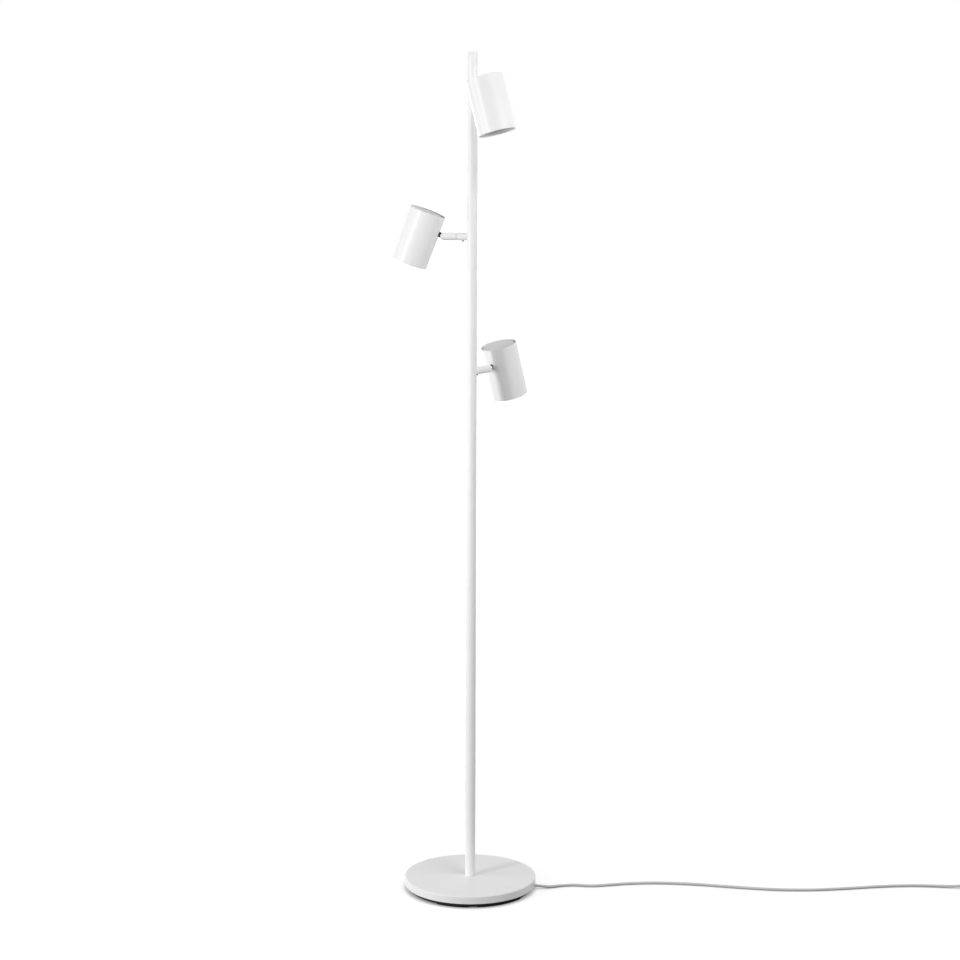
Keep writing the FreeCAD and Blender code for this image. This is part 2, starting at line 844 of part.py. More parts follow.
# ---------------------------------------------------------------- pole
def make_pole():
    radius = size("pole_radius")
    lower = tube("pole_lower", radius, pole_inner, lower_pole_length, disc_top)
    middle = tube("pole_middle", radius, pole_inner, lower_pole_length, lower_seam)
    foot = tube("pole_foot_plug", inner_fit, stud_hole, size("stud_reach"), disc_top)
    reach = size("coupler_length")
    couplers = [
        tube("pole_coupler_%s" % name, inner_fit, inner_fit - size("coupler_wall"), reach,
             seam - reach / 2)
        for name, seam in (("lower", lower_seam), ("upper", upper_seam))
    ]
    return [lower, middle, foot] + couplers


def make_upper_pole():
    """The top length of the pole, with a hole for each arm's tenon."""
    body = new_body("pole_upper")
    length = pole_top - upper_seam
    cylinder(body, "outside", XY, (0.0, 0.0, upper_seam), size("pole_radius"), length)
    cylinder(body, "bore", XY, (0.0, 0.0, upper_seam), pole_inner, length, cut=True)
    for arm in ARMS:
        hole = body.newObject("PartDesign::SubtractiveCylinder", "pole_upper_tenon_hole_%d" % arm)
        bind(hole, "Radius", size("tenon_radius") + size("inner_clearance"))
        bind(hole, "Height", size("pole_radius") * 2)
        lay_out = Placement(Vector(0, 0, 0), Rotation(Vector(0, 1, 0), 90))
        hole.Placement = arm_frame(arm).multiply(lay_out)
    return body


def make_pole_cap():
    """Push-in cap: a rounded head over a fine seam, and a plug inside the tube."""
    body = new_body("pole_cap")
    radius = size("pole_radius")
    seam = size("cap_seam")
    head = turned(body, "turned", [
        (0.0, pole_top - size("cap_plug_length")),
        (inner_fit, pole_top - size("cap_plug_length")),
        (inner_fit, pole_top),
        (radius - seam, pole_top),
        (radius, pole_top + seam),
        (radius, lamp_height),
        (0.0, lamp_height),
    ])
    round_edges(body, "round", head, size("cap_round"), is_ring(radius, lamp_height))
    return body


# ---------------------------------------------------------------- arms
def make_arm_stub(arm):
    """Fixed half of an arm: a saddle on the pole, a tenon into it and a bore for the swivel."""
    body = new_body("arm_stub_%d" % arm)
    reach = size("stub_reach")
    cylinder(body, "barrel", YZ, (0.0, 0.0, 0.0), size("arm_radius"), reach)
    room = (size("arm_radius") + size("cut_margin")) * 2
    cylinder(body, "saddle", XY, (0.0, 0.0, -room / 2), size("pole_radius") + size("saddle_gap"), room, cut=True)
    tenon_start = size("tenon_reach")
    cylinder(body, "tenon", YZ, (0.0, 0.0, tenon_start), size("tenon_radius"),
             size("pole_radius") + size("tenon_root") - tenon_start)
    bore_start = swivel_start - size("spigot_end_gap")
    cylinder(body, "bore", YZ, (0.0, 0.0, bore_start),
             size("spigot_radius") + size("swivel_clearance"), reach - bore_start, cut=True)
    cylinder(body, "wire_way", YZ, (0.0, 0.0, 0.0), size("wire_bore"), reach, cut=True)
    drilled = cylinder(body, "stop_hole", XY,
                       (size("stop_screw_reach"), 0.0, -size("arm_radius") - size("cut_margin")),
                       size("stop_screw_radius") + size("stop_screw_fit"), size("arm_radius"), cut=True)
    round_edges(body, "seam", drilled, size("seam_chamfer"),
                is_ring(size("arm_radius"), reach, axis="x"), chamfer=True)
    body.Placement = arm_frame(arm)
    return body


def make_stop_screws():
    """The small set screw under each stub, whose tip runs in the swivel's groove."""
    screws = []
    tip = size("spigot_radius") - size("stop_groove_depth") + size("stop_tip_gap")
    foot = size("arm_radius") + size("stop_screw_stand_out")
    for arm in ARMS:
        name = "stop_screw_%d" % arm
        screw = primitive("Cylinder", name + "_shank", {
            "Radius": size("stop_screw_radius"), "Height": foot - tip})
        socket = primitive("Prism", name + "_socket", {
            "Circumradius": size("stop_socket_radius"), "Height": size("stop_socket_depth")})
        socket.Polygon = 6
        drilled = cut(name, screw, socket)
        below = Placement(Vector(SIZES["stop_screw_reach"], 0, -foot.value), Rotation())
        drilled.Placement = arm_frame(arm).multiply(below)
        screws.append(drilled)
    group = doc.addObject("Part::Compound", "stop_screws")
    group.Links = screws
    return group


def make_swivel_arm(arm):
    """Turning half of an arm: grooved spigot, barrel and a ball nose that is slotted as a fork."""
    body = new_body("swivel_arm_%d" % arm)
    radius = size("arm_radius")
    chamfer = size("seam_chamfer")
    shoulder = size("stub_reach") + size("seam_gap")
    knuckle = size("knuckle_reach")
    turned(body, "blank", [
        (swivel_start, 0.0),
        (swivel_start, size("spigot_radius")),
        (shoulder, size("spigot_radius")),
        (shoulder, radius - chamfer),
        (shoulder + chamfer, radius),
        (knuckle, radius, radius, "left"),
        (knuckle + radius, 0.0),
    ], axis=LYING)
    half = size("stop_groove_width") / 2
    middle = size("stop_screw_reach")
    margin = size("cut_margin")
    turned(body, "stop_groove", [
        (middle - half, -size("spigot_radius") - margin),
        (middle + half, -size("spigot_radius") - margin),
        (middle + half, -size("spigot_radius") + size("stop_groove_depth")),
        (middle - half, -size("spigot_radius") + size("stop_groove_depth")),
    ], axis=LYING, angle=size("stop_groove_angle"), cut=True)
    slot_start = knuckle - size("fork_depth")
    box(body, "fork_slot", XY, (slot_start, -fork_gap / 2, -radius - margin),
        (size("fork_depth") + radius + margin, fork_gap, (radius + margin) * 2), cut=True)
    cylinder(body, "wire_way", YZ, (0.0, 0.0, swivel_start), size("wire_bore"),
             slot_start - swivel_start + margin, cut=True)
    cylinder(body, "pin_hole", XZ, (knuckle, 0.0, -radius - margin),
             size("knuckle_pin_radius") + size("pin_press_fit"), (radius + margin) * 2, cut=True)
    body.Placement = swivel_frame(arm)
    return body


def make_knuckle_pin(arm):
    length = (size("arm_radius") - size("knuckle_pin_recess")) * 2
    pin = primitive("Cylinder", "knuckle_pin_%d" % arm, {
        "Radius": size("knuckle_pin_radius"), "Height": length})
    across = Placement(Vector(SIZES["knuckle_reach"], length.value / 2, 0),
                       Rotation(Vector(1, 0, 0), 90))
    pin.Placement = swivel_frame(arm).multiply(across)
    return pin


# ---------------------------------------------------------------- spots
def make_head_bracket(arm):
    """Tongue in the fork, saddle inside the shade's wall and a shelf for the lampholder."""
    body = new_body("head_bracket_%d" % arm)
    knuckle = -size("shade_offset")
    half = size("tongue_height") / 2
    padded(body, "tongue", XZ, [
        (knuckle, -half, half, "left"),
        (knuckle - half, 0.0, half, "left"),
        (knuckle, half),
        (-saddle_outer + size("tongue_root"), half),
        (-saddle_outer + size("tongue_root"), -half),
    ], size("tongue_thickness"), both_ways=True)
    wall = size("bracket_thickness")
    turned(body, "saddle", [
        (-saddle_outer, -size("saddle_drop")),
        (-saddle_outer + wall, -size("saddle_drop")),
        (-saddle_outer + wall, shelf_top),
        (-saddle_outer, shelf_top),
    ], angle=size("saddle_angle"))
    wide = size("bracket_width") / 2
    padded(body, "shelf", XY, [
        (-saddle_outer + wall / 2, -wide + size("shelf_corner")),
        (-saddle_outer + wall * 2, -wide),
        (0.0, -wide, wide, "right"),
        (wide, 0.0, wide, "right"),
        (0.0, wide),
        (-saddle_outer + wall * 2, wide),
        (-saddle_outer + wall / 2, wide - size("shelf_corner")),
    ], wall, offset=shelf_bottom)
    cylinder(body, "pin_hole", XZ, (knuckle, 0.0, -size("tongue_thickness")),
             size("knuckle_pin_radius") + size("pin_turn_fit"), size("tongue_thickness") * 2, cut=True)
    body.Placement = head_frame(arm)
    return body


def make_shade(arm):
    """Open tube with softly rounded rims and a slot where the tongue goes in."""
    body = new_body("shade_%d" % arm)
    radius = size("shade_radius")
    wall = turned(body, "wall", [
        (shade_inner, front_rim),
        (radius, front_rim),
        (radius, rear_rim),
        (shade_inner, rear_rim),
    ])

    def is_rim(edge):
        return any(is_ring(radius, level)(edge) for level in (front_rim, rear_rim))

    round_edges(body, "rims", wall, size("shade_lip_round"), is_rim)
    high = size("tongue_height") / 2 + size("tongue_clearance")
    wide = size("tongue_thickness") / 2 + size("tongue_clearance")
    margin = size("cut_margin")
    box(body, "tongue_slot", XY, (-radius - margin, -wide, -high),
        (size("shade_wall") + margin * 3, wide * 2, high * 2), cut=True)
    body.Placement = head_frame(arm)
    return body


def make_rear_cap(arm):
    """Shallow cup set in from the rear rim, on a post that stands on the bracket's shelf."""
    body = new_body("rear_cap_%d" % arm)
    wall = size("rear_cap_wall")
    radius = rear_cap_radius
    post = size("rear_cap_post_radius")
    skirt_end = rear_cap_top - size("rear_cap_skirt")
    cup = turned(body, "cup", [
        (0.0, rear_cap_top),
        (radius, rear_cap_top),
        (radius, skirt_end),
        (radius - wall, skirt_end),
        (radius - wall, rear_cap_top - wall),
        (post, rear_cap_top - wall),
        (post, shelf_top),
        (0.0, shelf_top),
    ])
    round_edges(body, "round", cup, size("rear_cap_round"), is_ring(radius, rear_cap_top))
    body.Placement = head_frame(arm)
    return body


def pin_places():
    half = size("bulb_pin_spacing") / 2
    return (("left", -half), ("right", half))


def make_lampholder(arm):
    """Ceramic holder under the shelf, with a blind hole for each pin of the bulb."""
    body = new_body("lampholder_%d" % arm)
    barrel = cylinder(body, "barrel", XY, (0.0, 0.0, holder_bottom), size("holder_radius"),
                      size("holder_length"))
    round_edges(body, "edge", barrel, size("holder_edge_round"), is_ring(size("holder_radius"), holder_bottom))
    for name, place in pin_places():
        cylinder(body, "pin_hole_" + name, XY, (0.0, place, holder_bottom),
                 size("bulb_pin_radius") + size("bulb_pin_clearance"),
                 size("bulb_pin_length") + size("bulb_pin_end_gap"), cut=True)
    body.Placement = head_frame(arm)
    return body


def make_bulb(arm):
    """Reflector bulb: hollow, with a neck, a curved flare, a rim and two base pins."""
    body = new_body("bulb_%d" % arm)
    wall = size("bulb_wall")
    neck = size("bulb_neck_radius")
    wide = size("bulb_radius")
    neck_end = holder_bottom - size("bulb_neck_length")
    rim_start = bulb_front + size("bulb_rim_length")
    bow = size("bulb_flare_radius")
    flare = size("bulb_neck_flare")
    envelope = turned(body, "envelope", [
        (0.0, holder_bottom),
        (neck, holder_bottom),
        (neck + flare, neck_end, bow, "right"),
        (wide, rim_start),
        (wide, bulb_front),
        (wide - wall, bulb_front),
        (wide - wall, rim_start, bow, "left"),
        (neck + flare - wall, neck_end),
        (neck - wall, holder_bottom - wall),
        (0.0, holder_bottom - wall),
    ])
    round_edges(body, "rim", envelope, size("bulb_rim_round"), is_ring(wide, bulb_front))
    root = size("fuse_depth")
    for name, place in pin_places():
        cylinder(body, "pin_" + name, XY, (0.0, place, holder_bottom - root),
                 size("bulb_pin_radius"), size("bulb_pin_length") + root)
    body.Placement = head_frame(arm)
    return body


def make_bulb_lens(arm):
    """Bevelled front glass in the rim of the bulb."""
    body = new_body("bulb_lens_%d" % arm)
    radius = size("bulb_radius") - size("bulb_wall") - size("lens_fit")
    bevel = size("lens_bevel")
    front = bulb_front + size("lens_recess")
    turned(body, "glass", [
        (0.0, front + bevel + size("lens_edge")),
        (radius, front + bevel + size("lens_edge")),
        (radius, front + bevel),
        (radius - bevel * 2, front),
        (0.0, front),
    ])
    body.Placement = head_frame(arm)
    return body


# ---------------------------------------------------------------- mains lead
def swept_tube(name, path, radius):
    """Solid round tube along a smooth path of lines and arcs; prints its volume check."""
    start = path.OrderedEdges[0]
    direction = start.tangentAt(start.FirstParameter)
    ring = Part.Wire([Part.makeCircle(radius, path.OrderedVertexes[0].Point, direction)])
    shell = Part.BRepOffsetAPI.MakePipeShell(path)
    shell.add(ring, False, False)
    shell.build()
    shell.makeSolid()
    shape = shell.shape()
    if shape.ShapeType != "Solid":
        shape = shape.Solids[0]
    if shape.Volume < 0:
        shape.reverse()
    expected = math.pi * radius * radius * path.Length
    print("%s: length %.1f, volume / (section x length) %.4f" % (name, path.Length,
                                                               shape.Volume / expected))
    return solid_feature(name, shape)


def rounded_route(points, share=0.45):
    """Straight runs joined by arcs as large as the shorter run beside each point allows."""
    edges = []
    radii = []
    at = points[0]
    for before, point, after in zip(points, points[1:], points[2:]):
        way_in = (point - before).normalize()
        way_out = (after - point).normalize()
        turn = way_in.getAngle(way_out)
        reach = share * min((point - before).Length, (after - point).Length)
        radius = reach / math.tan(turn / 2)
        inward = (way_out - way_in).normalize()
        start = point - way_in * reach
        end = point + way_out * reach
        middle = point + inward * (radius / math.cos(turn / 2) - radius)
        edges.append(Part.LineSegment(at, start).toShape())
        edges.append(Part.Arc(start, middle, end).toShape())
        radii.append(radius)
        at = end
    edges.append(Part.LineSegment(at, points[-1]).toShape())
    print("route radii:", " ".join("%.0f" % radius for radius in radii))
    return Part.Wire(edges)


def nose_height():
    """Height of the lead where it enters the foot switch."""
    return size("switch_nose_radius") + size("switch_nose_rise")


def switch_end(side):
    half = SIZES["switch_length"] / 2 + SIZES["switch_nose_length"]
    return Vector(SIZES["switch_x"] + side * half, 0, nose_height().value)


def make_cord_run():
    """Free lead from the strain relief over the floor to the foot switch."""
    tip = Vector(gland_tip_x.value, 0, lead_height.value + SIZES["lead_rise"])
    start = base_turn.multVec(tip)
    points = [start] + [Vector(*point) for point in ROUTE] + [switch_end(-1)]
    return swept_tube("cord_run", rounded_route(points), SIZES["cord_radius"])


def biarc(start, way_in, end, way_out):
    """Two arcs that join two points smoothly along the given directions."""
    gap = end - start
    twist = way_in + way_out
    a = 2 * (1 - way_in.dot(way_out))
    b = 2 * gap.dot(twist)
    c = -gap.dot(gap)
    if abs(a) < 1e-9:
        reach = -c / b
    else:
        reach = (-b + math.sqrt(b * b - 4 * a * c)) / (2 * a)
    first = start + way_in * reach
    last = end - way_out * reach
    join = (first + last) * 0.5
    way = (last - first).normalize()
    return [tangent_arc(start, way_in, join), tangent_arc(join, way, end)]


def tangent_arc(start, way, end):
    """The arc from start to end that leaves start along way."""
    chord = end - start
    across = chord - way * chord.dot(way)
    if across.Length < 1e-6:
        return Part.LineSegment(start, end).toShape()
    side = across.normalize()
    turn = 2 * way.getAngle(chord)
    radius = chord.Length / (2 * math.sin(turn / 2))
    half = turn / 2
    middle = start + way * (radius * math.sin(half)) + side * (radius * (1 - math.cos(half)))
    return Part.Arc(start, middle, end).toShape()


def make_cord_coil():
    """Spare lead: from the switch into a flat coil that spirals in, climbs and spirals out."""
    radius = SIZES["cord_radius"]
    pitch = SIZES["coil_pitch"]
    half_turns = int(SIZES["coil_half_turns"])
    middle = Vector(SIZES["coil_x"], SIZES["coil_y"], 0)
    outer = SIZES["coil_mid_radius"] + pitch * half_turns / 4
    extra = SIZES["coil_climb_step"]
    lower = SIZES["tie_thickness"] + SIZES["coil_rest_gap"] + radius
    upper = lower + pitch

    def stop(index, reach, height):
        """Point and direction after a number of half turns, from the side nearest -Y."""
        angle = -math.pi / 2 + math.pi * index
        point = middle + Vector(math.cos(angle), math.sin(angle), 0) * reach
        return point + Vector(0, 0, height), Vector(-math.sin(angle), math.cos(angle), 0)

    reaches = [outer - pitch / 2 * index for index in range(half_turns)]
    reaches.append(reaches[-1] - pitch / 2 - extra)
    stops = [stop(index, reach, lower) for index, reach in enumerate(reaches)]
    stops += [stop(half_turns + 1 + index, reach, upper)
              for index, reach in enumerate(reversed(reaches))]

    forward = Vector(1, 0, 0)
    entry = switch_end(1)
    square = Vector(2 * radius, 0, 0)
    edges = [Part.LineSegment(entry, entry + square).toShape()]
    edges += biarc(entry + square, forward, stops[0][0], forward)
    for (start, way_in), (end, way_out) in zip(stops, stops[1:]):
        edges += biarc(start, way_in, end, way_out)
    last, way = stops[-1]
    out_end = last + way * SIZES["coil_lead_out"]
    out_end.z = SIZES["plug_thickness"] / 2
    edges += biarc(last, way, out_end - way * (2 * radius), way)
    edges.append(Part.LineSegment(out_end - way * (2 * radius), out_end).toShape())
    path = Part.Wire(edges)
    print("coil: least gap of the lead to itself %.2f" % (least_self_gap(path, 2 * radius)))
    return swept_tube("cord_coil", path, radius), out_end


def least_self_gap(path, diameter):
    """Smallest distance between stretches of the path that aren't neighbours, less a diameter."""
    count = int(path.Length / 1.5)
    points = path.discretize(Number=count)
    step = path.Length / (count - 1)
    skip = int(6 * diameter / step)
    least = 1e9
    for index, point in enumerate(points):
        for other in points[index + skip:]:
            gap = point.distanceToPoint(other)
            if gap < least:
                least = gap
    return least - diameter


def rounded_rectangle(left, low, right, high, radius):
    """Outline of a rectangle with round corners."""
    return [
        (left + radius, low),
        (right - radius, low, radius, "right"),
        (right, low + radius),
        (right, high - radius, radius, "right"),
        (right - radius, high),
        (left + radius, high, radius, "right"),
        (left, high - radius),
        (left, low + radius, radius, "right"),
    ]


def make_cord_tie():
    """Flat strap round the coil's bundle, on the side away from the switch."""
    body = new_body("cord_tie")
    radius = size("cord_radius")
    strap = size("tie_thickness")
    slack = size("tie_clearance")
    corner = size("tie_round")
    half_turns = size("coil_half_turns")
    right = (size("coil_x") + size("coil_mid_radius") + size("coil_pitch") * (half_turns - 1) / 4
             + radius + slack)
    left = (right - size("coil_pitch") * (half_turns - 1) / 2 - size("coil_climb_step") / 2
            - (radius * 2 + slack + size("tie_bow_clearance")))
    high = strap + size("coil_rest_gap") + size("coil_pitch") + radius * 2 + slack
    padded(body, "block", XZ,
           rounded_rectangle(left - strap, Size(0, "0"), right + strap, high + strap, corner),
           size("tie_width"), offset=-size("coil_y"), both_ways=True)
    padded(body, "inside", XZ, rounded_rectangle(left, strap, right, high, corner - strap),
           size("tie_width"), offset=-size("coil_y"), both_ways=True, cut=True)
    return body


# ---------------------------------------------------------------- foot switch and plug
def stadium(length, width, middle):
    """Outline of a bar with round ends."""
    half = width / 2
    straight = length / 2 - half
    return [
        (middle - straight, -half),
        (middle + straight, -half, half, "right"),
        (middle + straight + half, 0.0, half, "right"),
        (middle + straight, half),
        (middle - straight, half, half, "right"),
        (middle - straight - half, 0.0, half, "right"),
    ]


def ribbed_nose(body, name, root, side, radius, tip, reach, count, width, pitch):
    """Tapered strain relief along X round the lead, with ribs that get smaller to its tip.

    root is (height, x) where it leaves the housing, and side is 1 for +X and -1 for -X.
    """
    height, start = root
    depth = size("cut_margin")
    thick = radius - size("nose_rib_height")
    thin = size("cord_radius") + size("nose_wall")
    foot = start - depth if side > 0 else start - reach
    first, last = (thick, thin) if side > 0 else (thin, thick)
    feature = cone(body, name, YZ, (0.0, height, foot), first, last, reach + depth)
    steps = int(number(count))
    for rib in range(steps):
        size_of = radius - (radius - tip) * (rib / max(steps - 1, 1))
        along = pitch * rib + width
        near = start + along if side > 0 else start - along - width
        feature = cylinder(body, "%s_rib_%d" % (name, rib + 1), YZ, (0.0, height, near),
                           size_of, width)
    body.Tip = feature


def make_foot_switch():
    """Two shells round a push button, with a tapered nose for the lead at each end."""
    middle = size("switch_x")
    length = size("switch_length")
    width = size("switch_width")
    wall = size("switch_wall")
    split = size("switch_split")
    height = size("switch_height")
    nose = size("switch_nose_length")

    base = new_body("switch_base")
    padded(base, "shell", XY, stadium(length, width, middle), split)
    padded(base, "inside", XY, stadium(length - wall * 2, width - wall * 2, middle), split,
           offset=wall, cut=True)
    for name, side in (("in", -1), ("out", 1)):
        ribbed_nose(base, "nose_" + name, (nose_height(), middle + length / 2 * side), side,
                    size("switch_nose_radius"), size("switch_nose_tip"), nose,
                    size("switch_rib_count"), size("switch_rib_width"), size("switch_rib_pitch"))

    cover = new_body("switch_cover")
    lid = padded(cover, "shell", XY, stadium(length, width, middle), height - split, offset=split)

    def is_top(edge):
        return edge.BoundBox.ZMin > number(height) - 0.01

    round_edges(cover, "top_round", lid, size("switch_top_round"), is_top)
    padded(cover, "inside", XY, stadium(length - wall * 2, width - wall * 2, middle),
           height - split - wall, offset=split, cut=True)
    cylinder(cover, "button_hole", XY, (middle, 0.0, split),
             size("button_radius") + size("button_clearance"), height, cut=True)

    button = new_body("switch_button")
    flange_top = height - wall - size("button_clearance")
    flange_radius = size("button_radius") + size("button_flange")
    reach = size("button_radius")
    top = height + size("button_stand_out")
    flange = cylinder(button, "flange", XY, (middle, 0.0, flange_top - size("button_flange_height")),
                      flange_radius, size("button_flange_height"))
    root = size("fuse_depth")
    crown = cylinder(button, "crown", XY, (middle, 0.0, flange_top - root), reach,
                     top - flange_top + root)
    round_edges(button, "crown_round", crown, size("button_round"), is_ring(reach, top))
    dish = size("button_dish_radius")
    deep = size("button_dish_depth")
    bowl = (dish * dish + deep * deep) / (deep * 2)
    hollow = button.newObject("PartDesign::SubtractiveSphere", "switch_button_dish")
    place_on(hollow, button, XY, (middle, 0.0, top - deep + bowl))
    bind(hollow, "Radius", bowl)
    return [base, cover, button]


def make_plug(cord_end):
    """Flat two-pin plug on the floor: its pins point to -X and its lead leaves to +X."""
    length = size("plug_length")
    thick = size("plug_thickness")
    relief = size("plug_relief_length")
    face = Vector(cord_end.x - (length + relief).value, cord_end.y, cord_end.z)

    body = new_body("plug_body")
    wide = size("plug_width") / 2
    narrow = size("plug_cord_width") / 2
    block = padded(body, "block", XY, [
        (0.0, -wide),
        (size("plug_straight"), -wide),
        (length, -narrow),
        (length, narrow),
        (size("plug_straight"), wide),
        (0.0, wide),
    ], thick, both_ways=True)

    def is_long_edge(edge):
        box_of = edge.BoundBox
        return box_of.ZLength < 0.01 and box_of.XLength > 0.01

    round_edges(body, "long_edges", block, size("plug_edge_round"), is_long_edge)
    deep = size("plug_grip_depth")
    margin = size("cut_margin")
    for index in range(int(SIZES["plug_grip_count"])):
        near = size("plug_grip_start") + size("plug_grip_pitch") * index
        for face_name, foot in (("top", thick / 2 - deep), ("foot", -thick / 2 - margin)):
            box(body, "grip_%s_%d" % (face_name, index + 1), XY, (near, -wide - margin, foot),
                (size("plug_grip_width"), (wide + margin) * 2, deep + margin), cut=True)
    ribbed_nose(body, "relief", (Size(0, "0"), length), 1, size("plug_relief_radius"),
                size("plug_relief_tip"), relief, size("plug_rib_count"), size("plug_rib_width"),
                size("plug_rib_pitch"))
    body.Placement = Placement(face, Rotation())

    pins = []
    for name, side in (("left", -1), ("right", 1)):
        pin = primitive("Cylinder", "plug_pin_" + name, {
            "Radius": size("plug_pin_radius"), "Height": size("plug_pin_length")})
        place = face + Vector(-SIZES["plug_pin_length"], side * SIZES["plug_pin_spacing"] / 2, 0)
        pin.Placement = Placement(place, Rotation(Vector(0, 1, 0), 90))
        pins.append(pin)
    group = doc.addObject("Part::Compound", "plug_pins")
    group.Links = pins
    return [body, group]


# ---------------------------------------------------------------- the whole lamp
def make_lamp():
    parts = [
        make_base_disc(),
        make_base_weight(),
        make_base_cover(),
        make_cover_screws(),
        make_foot_pads(),
        make_cord_gland(),
        make_riser(),
        make_upper_pole(),
        make_pole_cap(),
        make_stop_screws(),
    ]
    parts += make_base_fixing()
    parts += make_lead_inside()
    parts += make_pole()
    for arm in ARMS:
        parts += [
            make_arm_stub(arm),
            make_swivel_arm(arm),
            make_knuckle_pin(arm),
            make_head_bracket(arm),
            make_shade(arm),
            make_rear_cap(arm),
            make_lampholder(arm),
            make_bulb(arm),
            make_bulb_lens(arm),
        ]
    coil, coil_end = make_cord_coil()
    parts += [make_cord_run(), coil, make_cord_tie()]
    parts += make_foot_switch()
    parts += make_plug(coil_end)
    return parts


def check(parts):
    """Stop at any object that failed, and at any sub-part without a sound solid."""
    for item in doc.Objects:
        if "Invalid" in item.State or "Error" in item.State:
            raise RuntimeError("%s is %s" % (item.Name, item.State))
    for part in parts:
        shape = part.Shape
        if shape.isNull() or not shape.isValid() or not shape.Solids:
            raise RuntimeError("%s has no sound solid" % part.Label)


def export(parts):
    os.makedirs("parts", exist_ok=True)
    for part in parts:
        part.Shape.exportStep("parts/%s.step" % part.Label)
        print("%-18s solids %d  volume %10.1f" % (part.Label, len(part.Shape.Solids),
                                                 part.Shape.Volume))


lamp = make_lamp()
doc.recompute()
check(lamp)
export(lamp)
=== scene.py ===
"""Tree floor lamp: the finished surfaces, the lead, the light and the camera.

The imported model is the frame, and every length here is in metres in its axes:
+Z up, +X to the right and +Y away from someone who stands in front.
"""
import json
import math

import bmesh
import bpy
from bpy.props import FloatProperty, FloatVectorProperty, IntProperty, PointerProperty
from bpy.types import Operator, Panel, PropertyGroup
from mathutils import Matrix, Vector


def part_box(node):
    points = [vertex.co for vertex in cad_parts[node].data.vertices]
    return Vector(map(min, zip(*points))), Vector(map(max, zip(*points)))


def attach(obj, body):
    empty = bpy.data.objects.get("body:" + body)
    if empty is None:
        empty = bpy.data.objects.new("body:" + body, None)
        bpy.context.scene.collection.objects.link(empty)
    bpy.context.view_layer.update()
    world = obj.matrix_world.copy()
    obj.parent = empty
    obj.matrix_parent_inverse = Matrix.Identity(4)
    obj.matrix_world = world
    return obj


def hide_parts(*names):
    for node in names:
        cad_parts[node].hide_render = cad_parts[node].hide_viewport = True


bl_info = {
    "name": "Tree Floor Lamp",
    "version": (1, 0, 0),
    "blender": (4, 5, 0),
    "location": "3D View > Sidebar > Lamp",
    "description": "Dresses a three-spot floor lamp in painted steel, plastic and glass",
    "category": "Object",
}

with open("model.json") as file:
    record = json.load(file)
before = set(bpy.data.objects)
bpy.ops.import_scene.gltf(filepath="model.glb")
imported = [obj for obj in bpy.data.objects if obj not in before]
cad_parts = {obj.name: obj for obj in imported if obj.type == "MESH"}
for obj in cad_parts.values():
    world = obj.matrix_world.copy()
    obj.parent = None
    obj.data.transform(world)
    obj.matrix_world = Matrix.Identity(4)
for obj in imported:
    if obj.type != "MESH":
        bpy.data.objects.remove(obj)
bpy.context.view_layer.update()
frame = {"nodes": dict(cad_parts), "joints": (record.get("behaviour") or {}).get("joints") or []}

ARMS = (1, 2, 3)
# How far a spot tilts outwards from hanging straight down, in degrees.
TILT_OUT = 90.0
ALONG_X = Matrix.Rotation(math.pi / 2, 4, "Y")
AGAINST_X = Matrix.Rotation(-math.pi / 2, 4, "Y")

# The tip of the lead's strain relief: its bearing from the pole, its reach and its height.
GLAND_TURN = math.radians(-4.0)
GLAND_REACH = 0.1203
GLAND_LEVEL = 0.00615
# The lead's height at the foot switch, the coil's middle, and the plug's place behind that.
SWITCH_LEVEL = 0.006
COIL_MIDDLE = (1.066, 0.037, 0.0)
PLUG_ASIDE = 0.036875

# The lead's route from the strain relief to the foot switch, as the part's source has it.
LEAD_ROUTE = [
    (0.1320, -0.0093, 0.0055), (0.1480, -0.0080, 0.0030), (0.1680, 0.0005, 0.0025),
    (0.1950, 0.0065, 0.0025), (0.2260, -0.0005, 0.0025), (0.2560, 0.0050, 0.0025),
    (0.3000, 0.0160, 0.0025), (0.3600, 0.0200, 0.0025), (0.4300, 0.0120, 0.0025),
    (0.5000, -0.0040, 0.0025), (0.5700, -0.0170, 0.0025), (0.6400, -0.0190, 0.0025),
    (0.7100, -0.0090, 0.0025), (0.7750, 0.0040, 0.0025), (0.8350, 0.0095, 0.0025),
    (0.8800, 0.0060, 0.0027), (0.9120, 0.0012, 0.0038), (0.9280, 0.0000, 0.0056),
]


# ---- places read from the frame
def low(node):
    """Lowest corner of a node's box."""
    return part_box(node)[0]


def high(node):
    """Highest corner of a node's box."""
    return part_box(node)[1]


def joint(name):
    """The frame's joint of that name."""
    return [item for item in frame["joints"] if item["name"] == name][0]


def axes_frame(origin, along, side):
    """Matrix with X along one direction and Y along another."""
    up = along.cross(side)
    turn = Matrix((along, side, up)).transposed().to_4x4()
    return Matrix.Translation(origin) @ turn


def swivel_frame(arm):
    """Origin on the pole's axis, X out along the arm, Y along the knuckle pin."""
    swivel = joint("swivel_%d" % arm)
    out = Vector(swivel["axis"]).normalized()
    pin = -Vector(joint("tilt_%d" % arm)["axis"]).normalized()
    return axes_frame(Vector((0, 0, swivel["pos_m"][2])), out, pin)


def knuckle_reach(arm):
    """Pole's axis to the knuckle pin."""
    tilt = joint("tilt_%d" % arm)
    return (Vector(tilt["pos_m"]) - swivel_frame(arm).translation).length


def pin_frame(arm):
    """In the swivel's frame: origin in the middle of the knuckle pin, Z along it."""
    return Matrix.Translation((knuckle_reach(arm), 0, 0)) @ Matrix.Rotation(math.pi / 2, 4, "X")


def arm_frame(arm):
    """As swivel_frame, with Z straight up, for the half of the arm that doesn't turn."""
    out = Vector(joint("swivel_%d" % arm)["axis"]).normalized()
    side = Vector((0, 0, 1)).cross(out)
    return axes_frame(swivel_frame(arm).translation, out, side)


